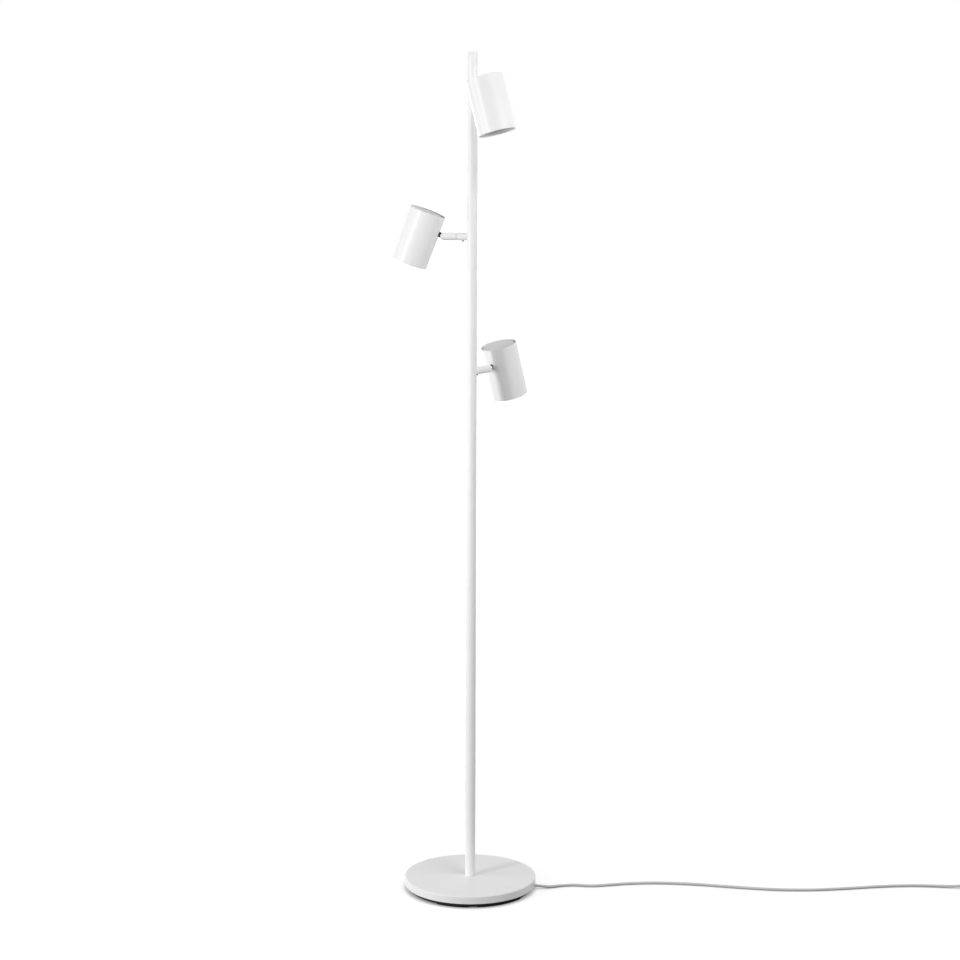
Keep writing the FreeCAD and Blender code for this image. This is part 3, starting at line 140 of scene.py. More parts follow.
def spot_frame(arm):
    """Origin on the shade's axis at the knuckle's level, Z back along the shade."""
    rest_tilt = math.radians(TILT_OUT - joint("tilt_%d" % arm)["range_deg"][1])
    knuckle = Matrix.Translation((knuckle_reach(arm), 0, 0))
    tilt = Matrix.Rotation(-rest_tilt, 4, "Y")
    to_axis = Matrix.Translation((bpy.context.scene.lamp_shapes.shade_offset, 0, 0))
    return swivel_frame(arm) @ knuckle @ tilt @ to_axis


# ---- user settings
def number(name, default, description, **kind):
    return FloatProperty(name=name, description=description, default=default, **kind)


def length(name, default, description):
    return number(name, default, description, min=0.0, subtype="DISTANCE", unit="LENGTH",
                  precision=5)


def share(name, default, description):
    return number(name, default, description, min=0.0, max=1.0, subtype="FACTOR")


def angle(name, degrees, description):
    return number(name, math.radians(degrees), description, subtype="ANGLE")


def power(name, default, place):
    return number(name, default, "Power of the softbox %s, in watts" % place, min=0.0)


def colour(name, default, description):
    return FloatVectorProperty(name=name, description=description, default=default, size=4,
                               min=0.0, max=1.0, subtype="COLOR")


class LampShapes(PropertyGroup):
    """Sizes that the finished meshes add to the frame."""
    segments: IntProperty(name="Segments", description="Facets round each turned piece",
                          default=96, min=24, max=256)
    round_steps: IntProperty(name="Round steps", description="Facets across each rounded edge",
                             default=5, min=2, max=12)
    disc_round: length("Disc edge", 0.0014, "Radius of the disc's upper edge")
    pole_radius: length("Pole radius", high("pole_lower").x, "Outside radius of the pole")
    pole_wall: length("Pole wall", 0.0012, "Wall of the pole")
    arm_radius: length("Arm radius", 0.0070, "Outside radius of the arms")
    stub_reach: length("Stub reach", 0.0280, "End of the arm's fixed half from the pole's axis")
    arm_seam: length("Arm seam", 0.0008, "Bevel at the joint of an arm's halves")
    fork_gap: length("Fork gap", 0.0046, "Width of the fork's slot")
    pin_radius: length("Pin radius", 0.00175, "Radius of the knuckle pin")
    shade_offset: length("Shade offset", 0.0435, "Knuckle to the shade's axis")
    shade_rise: length("Shade rise", 0.0313, "Knuckle's level to the rear rim")
    shade_length: length("Shade length", 0.0994, "Length of the shade")
    shade_radius: length("Shade radius", 0.0337, "Outside radius of the shade")
    shade_wall: length("Shade wall", 0.0014, "Wall of the shade")
    vent_gap: length("Vent gap", 0.0023, "Gap round the rear cap")
    rear_recess: length("Rear recess", 0.0015, "Depth of the rear cap below the rim")
    bulb_radius: length("Bulb radius", 0.0250, "Radius of the bulb's front")
    bulb_front: length("Bulb front", 0.0825, "Rear rim to the front of the bulb")
    cord_radius: length("Lead radius", 0.0025, "Radius of the lead")


class LampFinish(PropertyGroup):
    """Colours and surfaces."""
    paint: colour("Paint", (0.87, 0.87, 0.868, 1), "Powder coat of the metal parts")
    # The rear cap's colour is the white powder coat darkened by about a fifth: painted shade for
    # its recess below the rim.
    cap: colour("Rear cap", (0.70, 0.70, 0.698, 1), "Powder coat of the rear caps")
    paint_rough: share("Paint roughness", 0.30, "Roughness of the powder coat")
    black: colour("Black", (0.018, 0.018, 0.019, 1), "Underside, pads and brackets")
    # The lead's grey is painted shade: its white jacket is darkened to the shade seen along it.
    jacket: colour("Lead", (0.64, 0.64, 0.635, 1), "Jacket of the lead")
    plastic: colour("Plastic", (0.80, 0.80, 0.79, 1), "Switch and plug")
    steel: colour("Steel", (0.62, 0.61, 0.59, 1), "Plated fasteners")
    ceramic: colour("Ceramic", (0.78, 0.76, 0.70, 1), "Lampholders")
    glass: colour("Glass", (0.93, 0.95, 0.96, 1), "Front of the bulbs")


class LampStage(PropertyGroup):
    """Light and camera."""
    key_power: power("Key", 38.0, "at the front left")
    high_power: power("High key", 4.0, "above the key")
    left_power: power("Left", 21.0, "low on the left")
    right_power: power("Right", 24.0, "on the right, the wide one")
    top_right_power: power("Top right", 14.0, "high on the right")
    back_left_power: power("Back left", 9.0, "behind on the left")
    back_right_power: power("Back right", 3.0, "behind on the right")
    sky: number("Sky", 0.29, "Strength of the light from all round", min=0.0)
    floor_grey: share("Floor", 0.30, "Grey of the floor")
    floor_fill: number("Floor fill", 0.80, "What the camera sees added to the floor", min=0.0)
    far_fill: number("Far fill", 0.30, "What it sees added to that far away", min=0.0)
    contact: length("Contact shadow", 0.012, "Reach of the floor's shade beside the object")
    camera_lens: number("Lens", 88.12, "Focal length on a 36 mm sensor", unit="CAMERA")
    camera_place: FloatVectorProperty(name="Camera", description="Where the camera stands",
                                      default=(0.01589, -4.2502, 1.4798), subtype="TRANSLATION")
    camera_pitch: angle("Pitch", 9.378, "How far the camera looks down")
    camera_roll: angle("Roll", 0.205, "Turn of the camera about its view")


# ---- mesh tools
def rounded_corners(corners, steps):
    """Outline through (x, y, radius) corners, with each radius turned into a short arc."""
    count = len(corners)
    points = []
    for index, (x, y, radius) in enumerate(corners):
        here = Vector((x, y))
        if radius <= 0.0:
            points.append(here)
            continue
        before = (Vector(corners[index - 1][:2]) - here).normalized()
        after = (Vector(corners[(index + 1) % count][:2]) - here).normalized()
        half = before.angle(after) / 2
        reach = radius / math.tan(half)
        centre = here + (before + after).normalized() * (radius / math.sin(half))
        first = here + before * reach - centre
        sweep = (math.pi - 2 * half) * (1 if before.cross(after) < 0 else -1)
        for step in range(steps + 1):
            spoke = first.copy()
            spoke.rotate(Matrix.Rotation(sweep * step / steps, 2))
            points.append(centre + spoke)
    return points


def rounded_box(left, foot, right, top, radius, steps=6):
    """Outline of a rectangle with rounded corners."""
    corners = [(left, foot), (right, foot), (right, top), (left, top)]
    return rounded_corners([(x, y, radius) for x, y in corners], steps)


def tube(inner, radius, foot, top, edge=0, inner_edge=0, steps=2):
    """Outline of a tube, or of a rod where the inner radius is 0."""
    return rounded_corners([(inner, foot, inner_edge), (radius, foot, edge), (radius, top, edge),
                            (inner, top, inner_edge)], steps)


def quarter(steps):
    """Cosine and sine at each step of a quarter turn."""
    angles = [math.pi / 2 * step / steps for step in range(steps + 1)]
    return [(math.cos(angle), math.sin(angle)) for angle in angles]


def put(name, data):
    """A new object in the scene."""
    piece = bpy.data.objects.new(name, data)
    bpy.context.scene.collection.objects.link(piece)
    return piece


def mesh_object(name, shape):
    """A smooth-shaded object from a bmesh, with its sharper edges kept crisp."""
    bmesh.ops.recalc_face_normals(shape, faces=shape.faces)
    mesh = bpy.data.meshes.new(name)
    shape.to_mesh(mesh)
    shape.free()
    piece = put(name, mesh)
    smooth(piece)
    return piece


def smooth(piece, sharper=34.0):
    """Shade a piece smooth, apart from edges that are sharper than an angle."""
    mesh = piece.data
    mesh.polygons.foreach_set("use_smooth", [True] * len(mesh.polygons))
    mesh.set_sharp_from_angle(angle=math.radians(sharper))


def bridge(shape, rings, closed):
    """Faces between rings of vertices; a ring of one vertex is a pole."""
    pairs = list(zip(rings, rings[1:]))
    if closed:
        pairs.append((rings[-1], rings[0]))
    for first, second in pairs:
        count = max(len(first), len(second))
        for index in range(count):
            after = (index + 1) % count
            if len(first) == 1:
                shape.faces.new((first[0], second[index], second[after]))
            elif len(second) == 1:
                shape.faces.new((first[index], second[0], first[after]))
            else:
                shape.faces.new((first[index], second[index], second[after], first[after]))


def held(outline, closed, margin=0.0003):
    """Add a point near both ends of each long run, so that smooth shading keeps to the corners."""
    count = len(outline)
    points = []
    for index in range(count if closed else count - 1):
        here, after = Vector(outline[index]), Vector(outline[(index + 1) % count])
        points.append(here)
        run = (after - here).length
        if run > margin * 5:
            points.append(here.lerp(after, margin / run))
            points.append(here.lerp(after, 1 - margin / run))
    if not closed:
        points.append(Vector(outline[-1]))
    return points


def lathe(name, outline, closed=False, segments=None, place=None):
    """Turn an outline of (radius, height) points about Z, from axis to axis or as a ring."""
    segments = segments or bpy.context.scene.lamp_shapes.segments
    angles = [2 * math.pi * index / segments for index in range(segments)]
    shape = bmesh.new()
    rings = []
    for radius, height in held(outline, closed):
        if radius < 1e-7:
            rings.append([shape.verts.new((0, 0, height))])
        else:
            rings.append([shape.verts.new((radius * math.cos(a), radius * math.sin(a), height))
                          for a in angles])
    bridge(shape, rings, closed)
    piece = mesh_object(name, shape)
    if place is not None:
        piece.data.transform(place)
    return piece


def loft(name, sections, closed=False):
    """Skin over sections, which are lists of points with the same count, as a bar or a ring."""
    shape = bmesh.new()
    rings = [[shape.verts.new(point) for point in section] for section in sections]
    bridge(shape, rings, closed)
    if not closed:
        shape.faces.new(list(reversed(rings[0])))
        shape.faces.new(rings[-1])
    return mesh_object(name, shape)


def block(name, lowest, highest):
    """A plain box to cut with."""
    shape = bmesh.new()
    bmesh.ops.create_cube(shape, size=1.0)
    size = Vector(highest) - Vector(lowest)
    middle = (Vector(highest) + Vector(lowest)) / 2
    for corner in shape.verts:
        corner.co = corner.co * size + middle
    return mesh_object(name, shape)


def carve(piece, cutter):
    """Cut one object out of another and drop the cutter."""
    change = piece.modifiers.new("carve", "BOOLEAN")
    change.operation = "DIFFERENCE"
    change.solver = "EXACT"
    change.object = cutter
    settle(piece)
    bpy.data.objects.remove(cutter)


def soften(piece, width, sharper=38.0):
    """Round every edge that is sharper than an angle."""
    change = piece.modifiers.new("soften", "BEVEL")
    change.width = width
    change.segments = 2
    change.limit_method = "ANGLE"
    change.angle_limit = math.radians(sharper)
    change.use_clamp_overlap = True
    settle(piece)


def settle(piece):
    """Turn an object's modifiers into its mesh."""
    bpy.context.view_layer.update()
    graph = bpy.context.evaluated_depsgraph_get()
    mesh = bpy.data.meshes.new_from_object(piece.evaluated_get(graph))
    piece.modifiers.clear()
    old = piece.data
    piece.data = mesh
    mesh.name = piece.name
    bpy.data.meshes.remove(old)
    smooth(piece)


def join(piece, others):
    """Add other meshes to one object."""
    shape = bmesh.new()
    shape.from_mesh(piece.data)
    for other in others:
        shape.from_mesh(other.data)
        bpy.data.objects.remove(other)
    shape.to_mesh(piece.data)
    shape.free()
    smooth(piece)


# ---- materials
class Nodes:
    """Short calls for building a node tree."""

    def __init__(self, tree):
        self.tree = tree

    def feed(self, socket, value):
        """Link an output to a socket, or set a plain value on it."""
        if isinstance(value, bpy.types.NodeSocket):
            self.tree.links.new(value, socket)
        else:
            socket.default_value = value

    def add(self, kind, inputs=(), **settings):
        node = self.tree.nodes.new(kind)
        for key, value in settings.items():
            setattr(node, key, value)
        for socket, value in inputs:
            self.feed(node.inputs[socket], value)
        return node

    def combine(self, operation, first, second):
        return self.add("ShaderNodeMath", [(0, first), (1, second)], operation=operation).outputs[0]

    def span(self, value, lowest, highest, start, end):
        """Map a value's range on to another, and keep it in there."""
        inputs = [("Value", value), ("From Min", start), ("From Max", end), ("To Min", lowest),
                  ("To Max", highest)]
        return self.add("ShaderNodeMapRange", inputs).outputs["Result"]


class Finish(Nodes):
    """A material whose patterns lie in the piece's own metres."""

    def __init__(self, name):
        self.material = bpy.data.materials.new(name)
        self.material.use_nodes = True
        super().__init__(self.material.node_tree)
        self.shader = self.tree.nodes["Principled BSDF"]
        self.place = self.add("ShaderNodeTexCoord").outputs["Object"]

    def noise(self, scale, detail):
        inputs = [("Vector", self.place), ("Scale", scale), ("Detail", detail),
                  ("Roughness", 0.55)]
        return self.add("ShaderNodeTexNoise", inputs).outputs["Fac"]

    def cloud(self, tint, scale, detail, dark, light, start=0.3, end=0.7):
        """A colour that drifts between a darker and a lighter shade of itself."""
        node = self.add("ShaderNodeValToRGB", [("Fac", self.noise(scale, detail))])
        for stop, position, factor in zip(node.color_ramp.elements, (start, end), (dark, light)):
            stop.position = position
            stop.color = tinted(tint, factor)
        return node.outputs["Color"]

    def drift(self, scale, detail, lowest, highest):
        """A number that drifts in a narrow range."""
        return self.span(self.noise(scale, detail), lowest, highest, 0.3, 0.7)

    def bump(self, height, strength, distance, below=None):
        inputs = [("Height", height), ("Strength", strength), ("Distance", distance)]
        if below is not None:
            inputs.append(("Normal", below))
        return self.add("ShaderNodeBump", inputs).outputs["Normal"]

    def set(self, **sockets):
        """Feed the shader's sockets, named in lower case with underscores."""
        for name, value in sockets.items():
            title = name.replace("_", " ").title().replace("Ior", "IOR")
            self.feed(self.shader.inputs[title], value)
        return self.material


def tinted(tint, factor):
    """A colour made lighter or darker."""
    return tuple(min(1.0, part * factor) for part in tint[:3]) + (1.0,)


def powder_coat(name, tint, rough):
    """Satin powder coat: faint cloudiness, orange peel and thinner paint on the edges."""
    m = Finish(name)
    edge = m.add("ShaderNodeNewGeometry").outputs["Pointiness"]
    worn = m.span(edge, 0.0, 0.35, 0.52, 0.60)
    inputs = [("Factor", worn), (6, m.cloud(tint, 9.0, 2.0, 0.985, 1.012)), (7, tinted(tint, 0.94))]
    mixed = m.add("ShaderNodeMix", inputs, data_type="RGBA").outputs[2]
    skin = m.bump(m.noise(230.0, 1.5), 0.07, 0.0002)
    satin = m.drift(60.0, 2.0, rough - 0.02, rough + 0.04)
    return m.set(base_color=mixed, roughness=satin, specular_ior_level=0.35, normal=skin)


def moulded(name, tint, rough, gloss=0.5, grain=900.0, depth=0.00005, strength=0.25):
    """Moulded plastic or rubber with a fine spark-eroded grain."""
    m = Finish(name)
    cells = m.add("ShaderNodeTexVoronoi", [("Vector", m.place), ("Scale", grain)])
    skin = m.bump(cells.outputs["Distance"], strength, depth)
    skin = m.bump(m.noise(grain * 1.7, 3.0), strength * 0.6, depth, skin)
    matt = m.drift(120.0, 3.0, rough - 0.05, rough + 0.06)
    return m.set(base_color=m.cloud(tint, 14.0, 2.0, 0.94, 1.05), roughness=matt,
                 specular_ior_level=gloss, normal=skin)


def turned_metal(name, tint, rough, streak=2200.0):
    """Plated or turned metal with fine tool lines and a little staining."""
    m = Finish(name)
    inputs = [("Vector", m.place), ("Scale", streak), ("Distortion", 2.0), ("Detail", 2.0)]
    wave = m.add("ShaderNodeTexWave", inputs, bands_direction="Z")
    skin = m.bump(wave.outputs["Fac"], 0.12, 0.00003)
    dull = m.drift(300.0, 3.0, rough - 0.04, rough + 0.06)
    return m.set(base_color=m.cloud(tint, 60.0, 4.0, 0.86, 1.06), metallic=1.0, roughness=dull,
                 normal=skin)


def even(name, tint, cloud, skin, rough, **sockets):
    """Drifting colour and one layer of bump, with an even roughness or a drifting one."""
    m = Finish(name)
    scale, detail, strength, distance = skin
    normal = m.bump(m.noise(scale, detail), strength, distance)
    rough = m.drift(*rough) if isinstance(rough, tuple) else rough
    return m.set(base_color=m.cloud(tint, *cloud), roughness=rough, normal=normal, **sockets)


def glazed(name, tint):
    """Glazed ceramic with small specks in the body."""
    return even(name, tint, (1800.0, 2.0, 0.82, 1.0, 0.28, 0.40), (90.0, 2.0, 0.15, 0.0002), 0.22,
                coat_weight=0.5, coat_roughness=0.08)


def frosted_glass(name, tint):
    """Lightly frosted front glass."""
    return even(name, tint, (30.0, 2.0, 0.97, 1.0), (420.0, 2.0, 0.10, 0.00008),
                (300.0, 2.0, 0.28, 0.36), ior=1.49, transmission_weight=0.55)


def lead_jacket(name, tint):
    """Smooth extruded jacket: faint drawing lines and handling marks."""
    return even(name, tint, (25.0, 3.0, 0.95, 1.03), (650.0, 3.0, 0.18, 0.00008),
                (200.0, 3.0, 0.33, 0.46), subsurface_weight=0.04)


def cast_metal(name, tint):
    """Sand-cast iron under a thin primer."""
    return even(name, tint, (45.0, 5.0, 0.7, 1.3), (700.0, 5.0, 0.5, 0.0002), 0.72)


def finishes(look):
    """Each finish, named as its slot where it has one: its maker, its name and its settings."""
    return {
        "white_paint": (powder_coat, "white powder coat", look.paint, look.paint_rough),
        # Rear caps: white powder coat with painted shade for their recess.
        "cap_paint": (powder_coat, "rear cap powder coat", look.cap, look.paint_rough + 0.05),
        "black_paint": (powder_coat, "black powder coat", look.black, 0.5),
        "black_plastic": (moulded, "black tray plastic", look.black, 0.6, 0.15),
        "rubber": (moulded, "pad rubber", look.black, 0.78, 0.1, 1400.0, 0.00008, 0.4),
        "white_plastic": (moulded, "white moulded plastic", look.plastic, 0.42, 0.5, 1300.0),
        "tie_plastic": (moulded, "black tie", look.black, 0.45, 0.5, 1600.0),
        "nylon": (moulded, "natural nylon", (0.62, 0.60, 0.52, 1), 0.5),
        # Lead: white jacket greyed as painted shade.
        "lead": (lead_jacket, "white lead jacket", look.jacket),
        "steel": (turned_metal, "plated steel", look.steel, 0.32),
        "pin_steel": (turned_metal, "turned pin steel", look.steel, 0.32, 3000.0),
        "dark_steel": (turned_metal, "blackened steel", (0.05, 0.05, 0.05, 1), 0.42),
        "pin_brass": (turned_metal, "nickelled brass", (0.70, 0.66, 0.58, 1), 0.2),
        "iron": (cast_metal, "cast iron", (0.06, 0.06, 0.06, 1)),
        "ceramic": (glazed, "glazed ceramic", look.ceramic),
        "bulb_glass": (glazed, "bulb body", (0.72, 0.72, 0.71, 1)),
        "lens_glass": (frosted_glass, "frosted bulb lens", look.glass),
    }


MATERIALS = {}


def wear(piece, finish):
    """Give an object one finish, which is made once."""
    if finish not in MATERIALS:
        maker, *settings = finishes(bpy.context.scene.lamp_finish)[finish]
        MATERIALS[finish] = maker(*settings)
    piece.data.materials.clear()
    piece.data.materials.append(MATERIALS[finish])


def dress(piece, finish, body, node):
    """Give a piece its finish and slot, set it on its body and hide the node it stands for."""
    wear(piece, finish)
    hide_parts(node)
    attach(piece, body)


def turned(name, outline, finish, body, node, **how):
    """Lathe a piece and dress it."""
    dress(lathe(name, outline, **how), finish, body, node)


def turned_each(kind, arm, outline, finish, body, segments, place):
    """Lathe and dress one arm's or spot's piece of a kind."""
    turned("%s_mesh_%d" % (kind, arm), outline, finish, "%s_%d" % (body, arm),
           "%s_%d" % (kind, arm), segments=segments, place=place)


# The nodes that keep their own mesh, by finish.
KEPT_NODES = {
    "iron": "base_weight",
    "black_plastic": "base_cover",
    "rubber": "foot_pads",
    "steel": "cover_screws base_stud base_nut base_washer pole_foot_plug pole_coupler_lower"
             " pole_coupler_upper",
    "white_plastic": "cord_gland",
    "nylon": "terminal_block",
    "lead": "inner_lead riser_wire",
    "dark_steel": "stop_screws",
    "black_paint": "head_bracket_1 head_bracket_2 head_bracket_3",
    "ceramic": "lampholder_1 lampholder_2 lampholder_3",
}


class LAMP_OT_kept_nodes(Operator):
    """Give the frame's own pieces their finishes"""
    bl_idname = "lamp.kept_nodes"
    bl_label = "Kept Pieces"

    def execute(self, context):
        for finish, names in KEPT_NODES.items():
            for name in names.split():
                wear(frame["nodes"][name], finish)
        return {"FINISHED"}


# ---- base and pole
class LAMP_OT_disc(Operator):
    """Build the pressed disc of the base"""
    bl_idname = "lamp.disc"
    bl_label = "Base Disc"

    def execute(self, context):
        shapes = context.scene.lamp_shapes
        bottom, top = low("base_disc").z, high("base_disc").z
        radius = high("base_disc").x
        hole = high("base_stud").x
        weight_gap, inner_round = 0.0002, 0.0006
        inner = high("base_weight").x + weight_gap
        skin_bottom = high("base_weight").z
        lip = 0.0008
        outline = rounded_corners([
            (hole, skin_bottom, 0), (inner, skin_bottom, inner_round), (inner, bottom, lip * 0.8),
            (radius, bottom, lip), (radius, top, shapes.disc_round), (hole, top, 0),
        ], shapes.round_steps)
        turned("disc", outline, "white_paint", "root", "base_disc", closed=True, segments=192)
        return {"FINISHED"}


class LAMP_OT_pole(Operator):
    """Build the pole's three tubes and its cap"""
    bl_idname = "lamp.pole"
    bl_label = "Pole"

    def execute(self, context):
        shapes = context.scene.lamp_shapes
        radius = shapes.pole_radius
        inner = radius - shapes.pole_wall
        joint_seam, cap_seam, seam_round, cap_round = 0.00018, 0.0005, 0.0001, 0.0010
        for name in ("lower", "middle", "upper"):
            node = "pole_" + name
            outline = tube(inner, radius, low(node).z, high(node).z, joint_seam)
            turned("pole_tube_" + name, outline, "white_paint", "root", node, closed=True)
        foot, top = low("pole_cap").z, high("pole_cap").z
        seat = high("pole_upper").z
        shank = inner * 0.99
        outline = rounded_corners([
            (0, foot, 0), (shank, foot, 0), (shank, seat, 0), (radius - cap_seam, seat, 0),
            (radius, seat + cap_seam, seam_round), (radius, top, cap_round), (0, top, 0),
        ], shapes.round_steps)
        turned("pole_end_cap", outline, "white_paint", "root", "pole_cap")
        return {"FINISHED"}


# ---- arms
def saddle_to_pole(piece, pole_radius, weld):
    """Draw the inner end of an arm on to the pole's round surface, with a small paint fillet."""
    start = min(vertex.co.x for vertex in piece.data.vertices)
    for vertex in piece.data.vertices:
        if vertex.co.x < start + weld * 1.5:
            across = min(abs(vertex.co.y), pole_radius * 0.999)
            surface = math.sqrt(pole_radius ** 2 - across ** 2)
            vertex.co.x += surface - start


class LAMP_OT_arms(Operator):
    """Build the arms: the fixed stub, the swivel with its forked ball nose, and the pin"""
    bl_idname = "lamp.arms"
    bl_label = "Arms"

    def execute(self, context):
        for arm in ARMS:
            for build in (self.stub, self.swivel, self.pin):
                build(context.scene.lamp_shapes, arm)
        return {"FINISHED"}

    def stub(self, shapes, arm):
        radius = shapes.arm_radius
        reach = shapes.stub_reach
        seam = shapes.arm_seam
        weld, sunk = 0.0006, 0.0004
        bore, bore_depth = 0.0052, 0.003
        start = shapes.pole_radius - sunk
        outline = [
            (radius + weld, start), (radius + weld * 0.35, start + weld * 0.35),
            (radius, start + weld), (radius, reach - seam),
            (radius - seam * 0.3, reach - seam * 0.3), (radius - seam, reach),
            (bore, reach), (bore, reach - bore_depth), (0, reach - bore_depth),
        ]
        piece = lathe("arm_stub_mesh_%d" % arm, outline, segments=64, place=ALONG_X)
        saddle_to_pole(piece, shapes.pole_radius - sunk * 0.75, weld)
        smooth(piece)
        piece.data.transform(arm_frame(arm))
        dress(piece, "white_paint", "root", "arm_stub_%d" % arm)

    def swivel(self, shapes, arm):
        radius = shapes.arm_radius
        gap, seam = 0.0003, shapes.arm_seam
        shoulder = shapes.stub_reach + gap
        reach = knuckle_reach(arm)
        spigot, spigot_length = 0.0050, 0.006
        outline = [
            (0, shoulder - spigot_length), (spigot, shoulder - spigot_length),
            (spigot, shoulder), (radius - seam, shoulder),
            (radius - seam * 0.3, shoulder + seam * 0.3), (radius, shoulder + seam),
        ]
        outline += [(radius * cosine, reach + radius * sine) for cosine, sine in quarter(24)]
        outline[-1] = (0, reach + radius)
        piece = lathe("swivel_arm_mesh_%d" % arm, outline, segments=64, place=ALONG_X)
        half, depth = shapes.fork_gap / 2, 0.0074
        slot = block("fork cutter", (reach - depth, -half, -radius * 1.5),
                     (reach + radius * 1.5, half, radius * 1.5))
        carve(piece, slot)
        clearance, edge = 0.0001, 0.00022
        hole = tube(0, shapes.pin_radius + clearance, -radius * 1.4, radius * 1.4)
        carve(piece, lathe("pin cutter", hole, segments=32, place=pin_frame(arm)))
        soften(piece, edge)
        piece.data.transform(swivel_frame(arm))
        dress(piece, "white_paint", "swivel_%d" % arm, "swivel_arm_%d" % arm)

    def pin(self, shapes, arm):
        radius = shapes.pin_radius
        sunk, end_round = 0.0007, 0.0004
        half = shapes.arm_radius - sunk
        outline = tube(0, radius, -half, half, end_round, steps=3)
        turned_each("knuckle_pin", arm, outline, "pin_steel", "swivel", 32,
                    swivel_frame(arm) @ pin_frame(arm))


# ---- spots
class LAMP_OT_spots(Operator):
    """Build the spots: shade, rear cap, reflector bulb and its front glass"""
    bl_idname = "lamp.spots"
    bl_label = "Spots"

    def execute(self, context):
        for arm in ARMS:
            for build in (self.shade, self.rear_cap, self.bulb, self.lens):
                build(context.scene.lamp_shapes, arm)
        return {"FINISHED"}

    def shade(self, shapes, arm):
        radius = shapes.shade_radius
        inner = radius - shapes.shade_wall
        rear = shapes.shade_rise
        front = rear - shapes.shade_length
        lip = 0.0005
        outline = tube(inner, radius, front, rear, lip, lip * 0.7, shapes.round_steps)
        piece = lathe("shade_mesh_%d" % arm, outline, closed=True, segments=128)
        wide, tall = 0.0023, 0.0048
        slot = block("slot cutter", (-radius * 1.2, -wide, -tall), (-inner * 0.9, wide, tall))
        carve(piece, slot)
        piece.data.transform(spot_frame(arm))
        dress(piece, "white_paint", "spot_%d" % arm, "shade_%d" % arm)

    def rear_cap(self, shapes, arm):
        radius = shapes.shade_radius - shapes.shade_wall - shapes.vent_gap
        top = shapes.shade_rise - shapes.rear_recess
        skirt, rim, wall, edge, corner = 0.0070, 0.0016, 0.0012, 0.0003, 0.0004
        foot = top - skirt
        post, post_end = 0.004, shapes.shade_rise - 0.013
        outline = rounded_corners([
            (0, top, 0), (radius, top, rim), (radius, foot, edge),
            (radius - wall, foot, edge), (radius - wall, top - wall, corner),
            (post, top - wall, 0), (post, post_end, 0), (0, post_end, 0),
        ], shapes.round_steps)
        # Its darker finish is painted shade for the recess.
        turned_each("rear_cap", arm, outline, "cap_paint", "spot", 128, spot_frame(arm))

    def bulb(self, shapes, arm):
        """Reflector bulb: a neck that swells to the rim, and a seat for the front glass."""
        bulb_length = 0.052
        front = shapes.shade_rise - shapes.bulb_front
        back = front + bulb_length
        wide = shapes.bulb_radius
        neck, neck_length, edge = 0.0125, 0.015, 0.001
        neck_end = back - neck_length
        rim = front + 0.009
        swell_start = neck + edge / 2
        seat, seat_depth = wide - 0.0016, 0.004
        outline = [(0, back), (neck - edge, back), (neck, back - edge), (neck, neck_end + edge)]
        steps = 10
        for step, (_, swell) in enumerate(quarter(steps)):
            outline.append((swell_start + (wide - swell_start) * swell,
                            neck_end + (rim - neck_end) * step / steps))
        outline += [(wide, front + 0.0005), (wide - 0.0005, front), (wide - 0.0013, front),
                    (seat, front + 0.0004), (seat, front + seat_depth), (0, front + seat_depth)]
        turned_each("bulb", arm, outline, "bulb_glass", "spot", 96, spot_frame(arm))

    def lens(self, shapes, arm):
        """Front glass with shallow concentric steps."""
        front = shapes.shade_rise - shapes.bulb_front
        rim = 0.0018
        radius = shapes.bulb_radius - rim
        back, edge, near, far = front + 0.0032, front + 0.0014, front + 0.0012, front + 0.0007
        outline = [(0, back), (radius, back), (radius, edge)]
        rings = 7
        for ring in range(rings):
            outer = radius * (1 - ring / rings) - 0.0004
            inside = radius * (1 - (ring + 1) / rings) + 0.0001
            outline += [(outer, near), (inside, far)]
        outline.append((0, far))
        turned_each("bulb_lens", arm, outline, "lens_glass", "spot", 96, spot_frame(arm))


# ---- lead
def nurbs_lead(name, points, radius):
    """A round lead on one smooth curve through its control points."""
    curve = bpy.data.curves.new(name, "CURVE")
    curve.dimensions = "3D"
    curve.bevel_depth = radius
    curve.bevel_resolution = 7
    curve.resolution_u = 10
    curve.use_fill_caps = True
    line = curve.splines.new("NURBS")
    line.points.add(len(points) - 1)
    for target, point in zip(line.points, points):
        target.co = (point[0], point[1], point[2], 1.0)
    line.order_u = 3
    line.use_endpoint_u = True
    return put(name, curve)


def coil_route(start, finish):
    """Control points of the coil: in from the switch, spiral in, climb, spiral out, to the plug."""
    middle = Vector(COIL_MIDDLE)
    pitch, climb_step = 0.0055, 0.0014
    half_turns, per_half = 5, 8
    lower = 0.0034
    upper = lower + pitch
    outer = 0.030 + pitch * half_turns / 4
    reaches = [outer - pitch / 2 * index for index in range(half_turns)]
    reaches.append(reaches[-1] - pitch / 2 - climb_step)
    stops = [(reach, lower) for reach in reaches] + [(reach, upper) for reach in reversed(reaches)]
    # A NURBS of order 3 cuts inside its control points by this much.
    swell = 1 / math.cos(math.pi / per_half / 2)
    # Both ends leave their fittings straight.
    points = [start, start + Vector((0.012, 0, 0)), start + Vector((0.026, 0.0002, -0.0022))]
    for step in range((len(stops) - 1) * per_half + 1):
        half, part = divmod(step, per_half)
        part /= per_half
        after = min(half + 1, len(stops) - 1)
        ease = part * part * (3 - 2 * part)
        reach = stops[half][0] + (stops[after][0] - stops[half][0]) * part
        height = stops[half][1] + (stops[after][1] - stops[half][1]) * ease
        angle = -math.pi / 2 + math.pi * step / per_half
        points.append(middle + Vector((math.cos(angle) * reach * swell,
                                       math.sin(angle) * reach * swell, height)))
    points += [finish + Vector((0.013, 0, 0.0006)), finish + Vector((0.005, 0, 0)), finish]
    return points


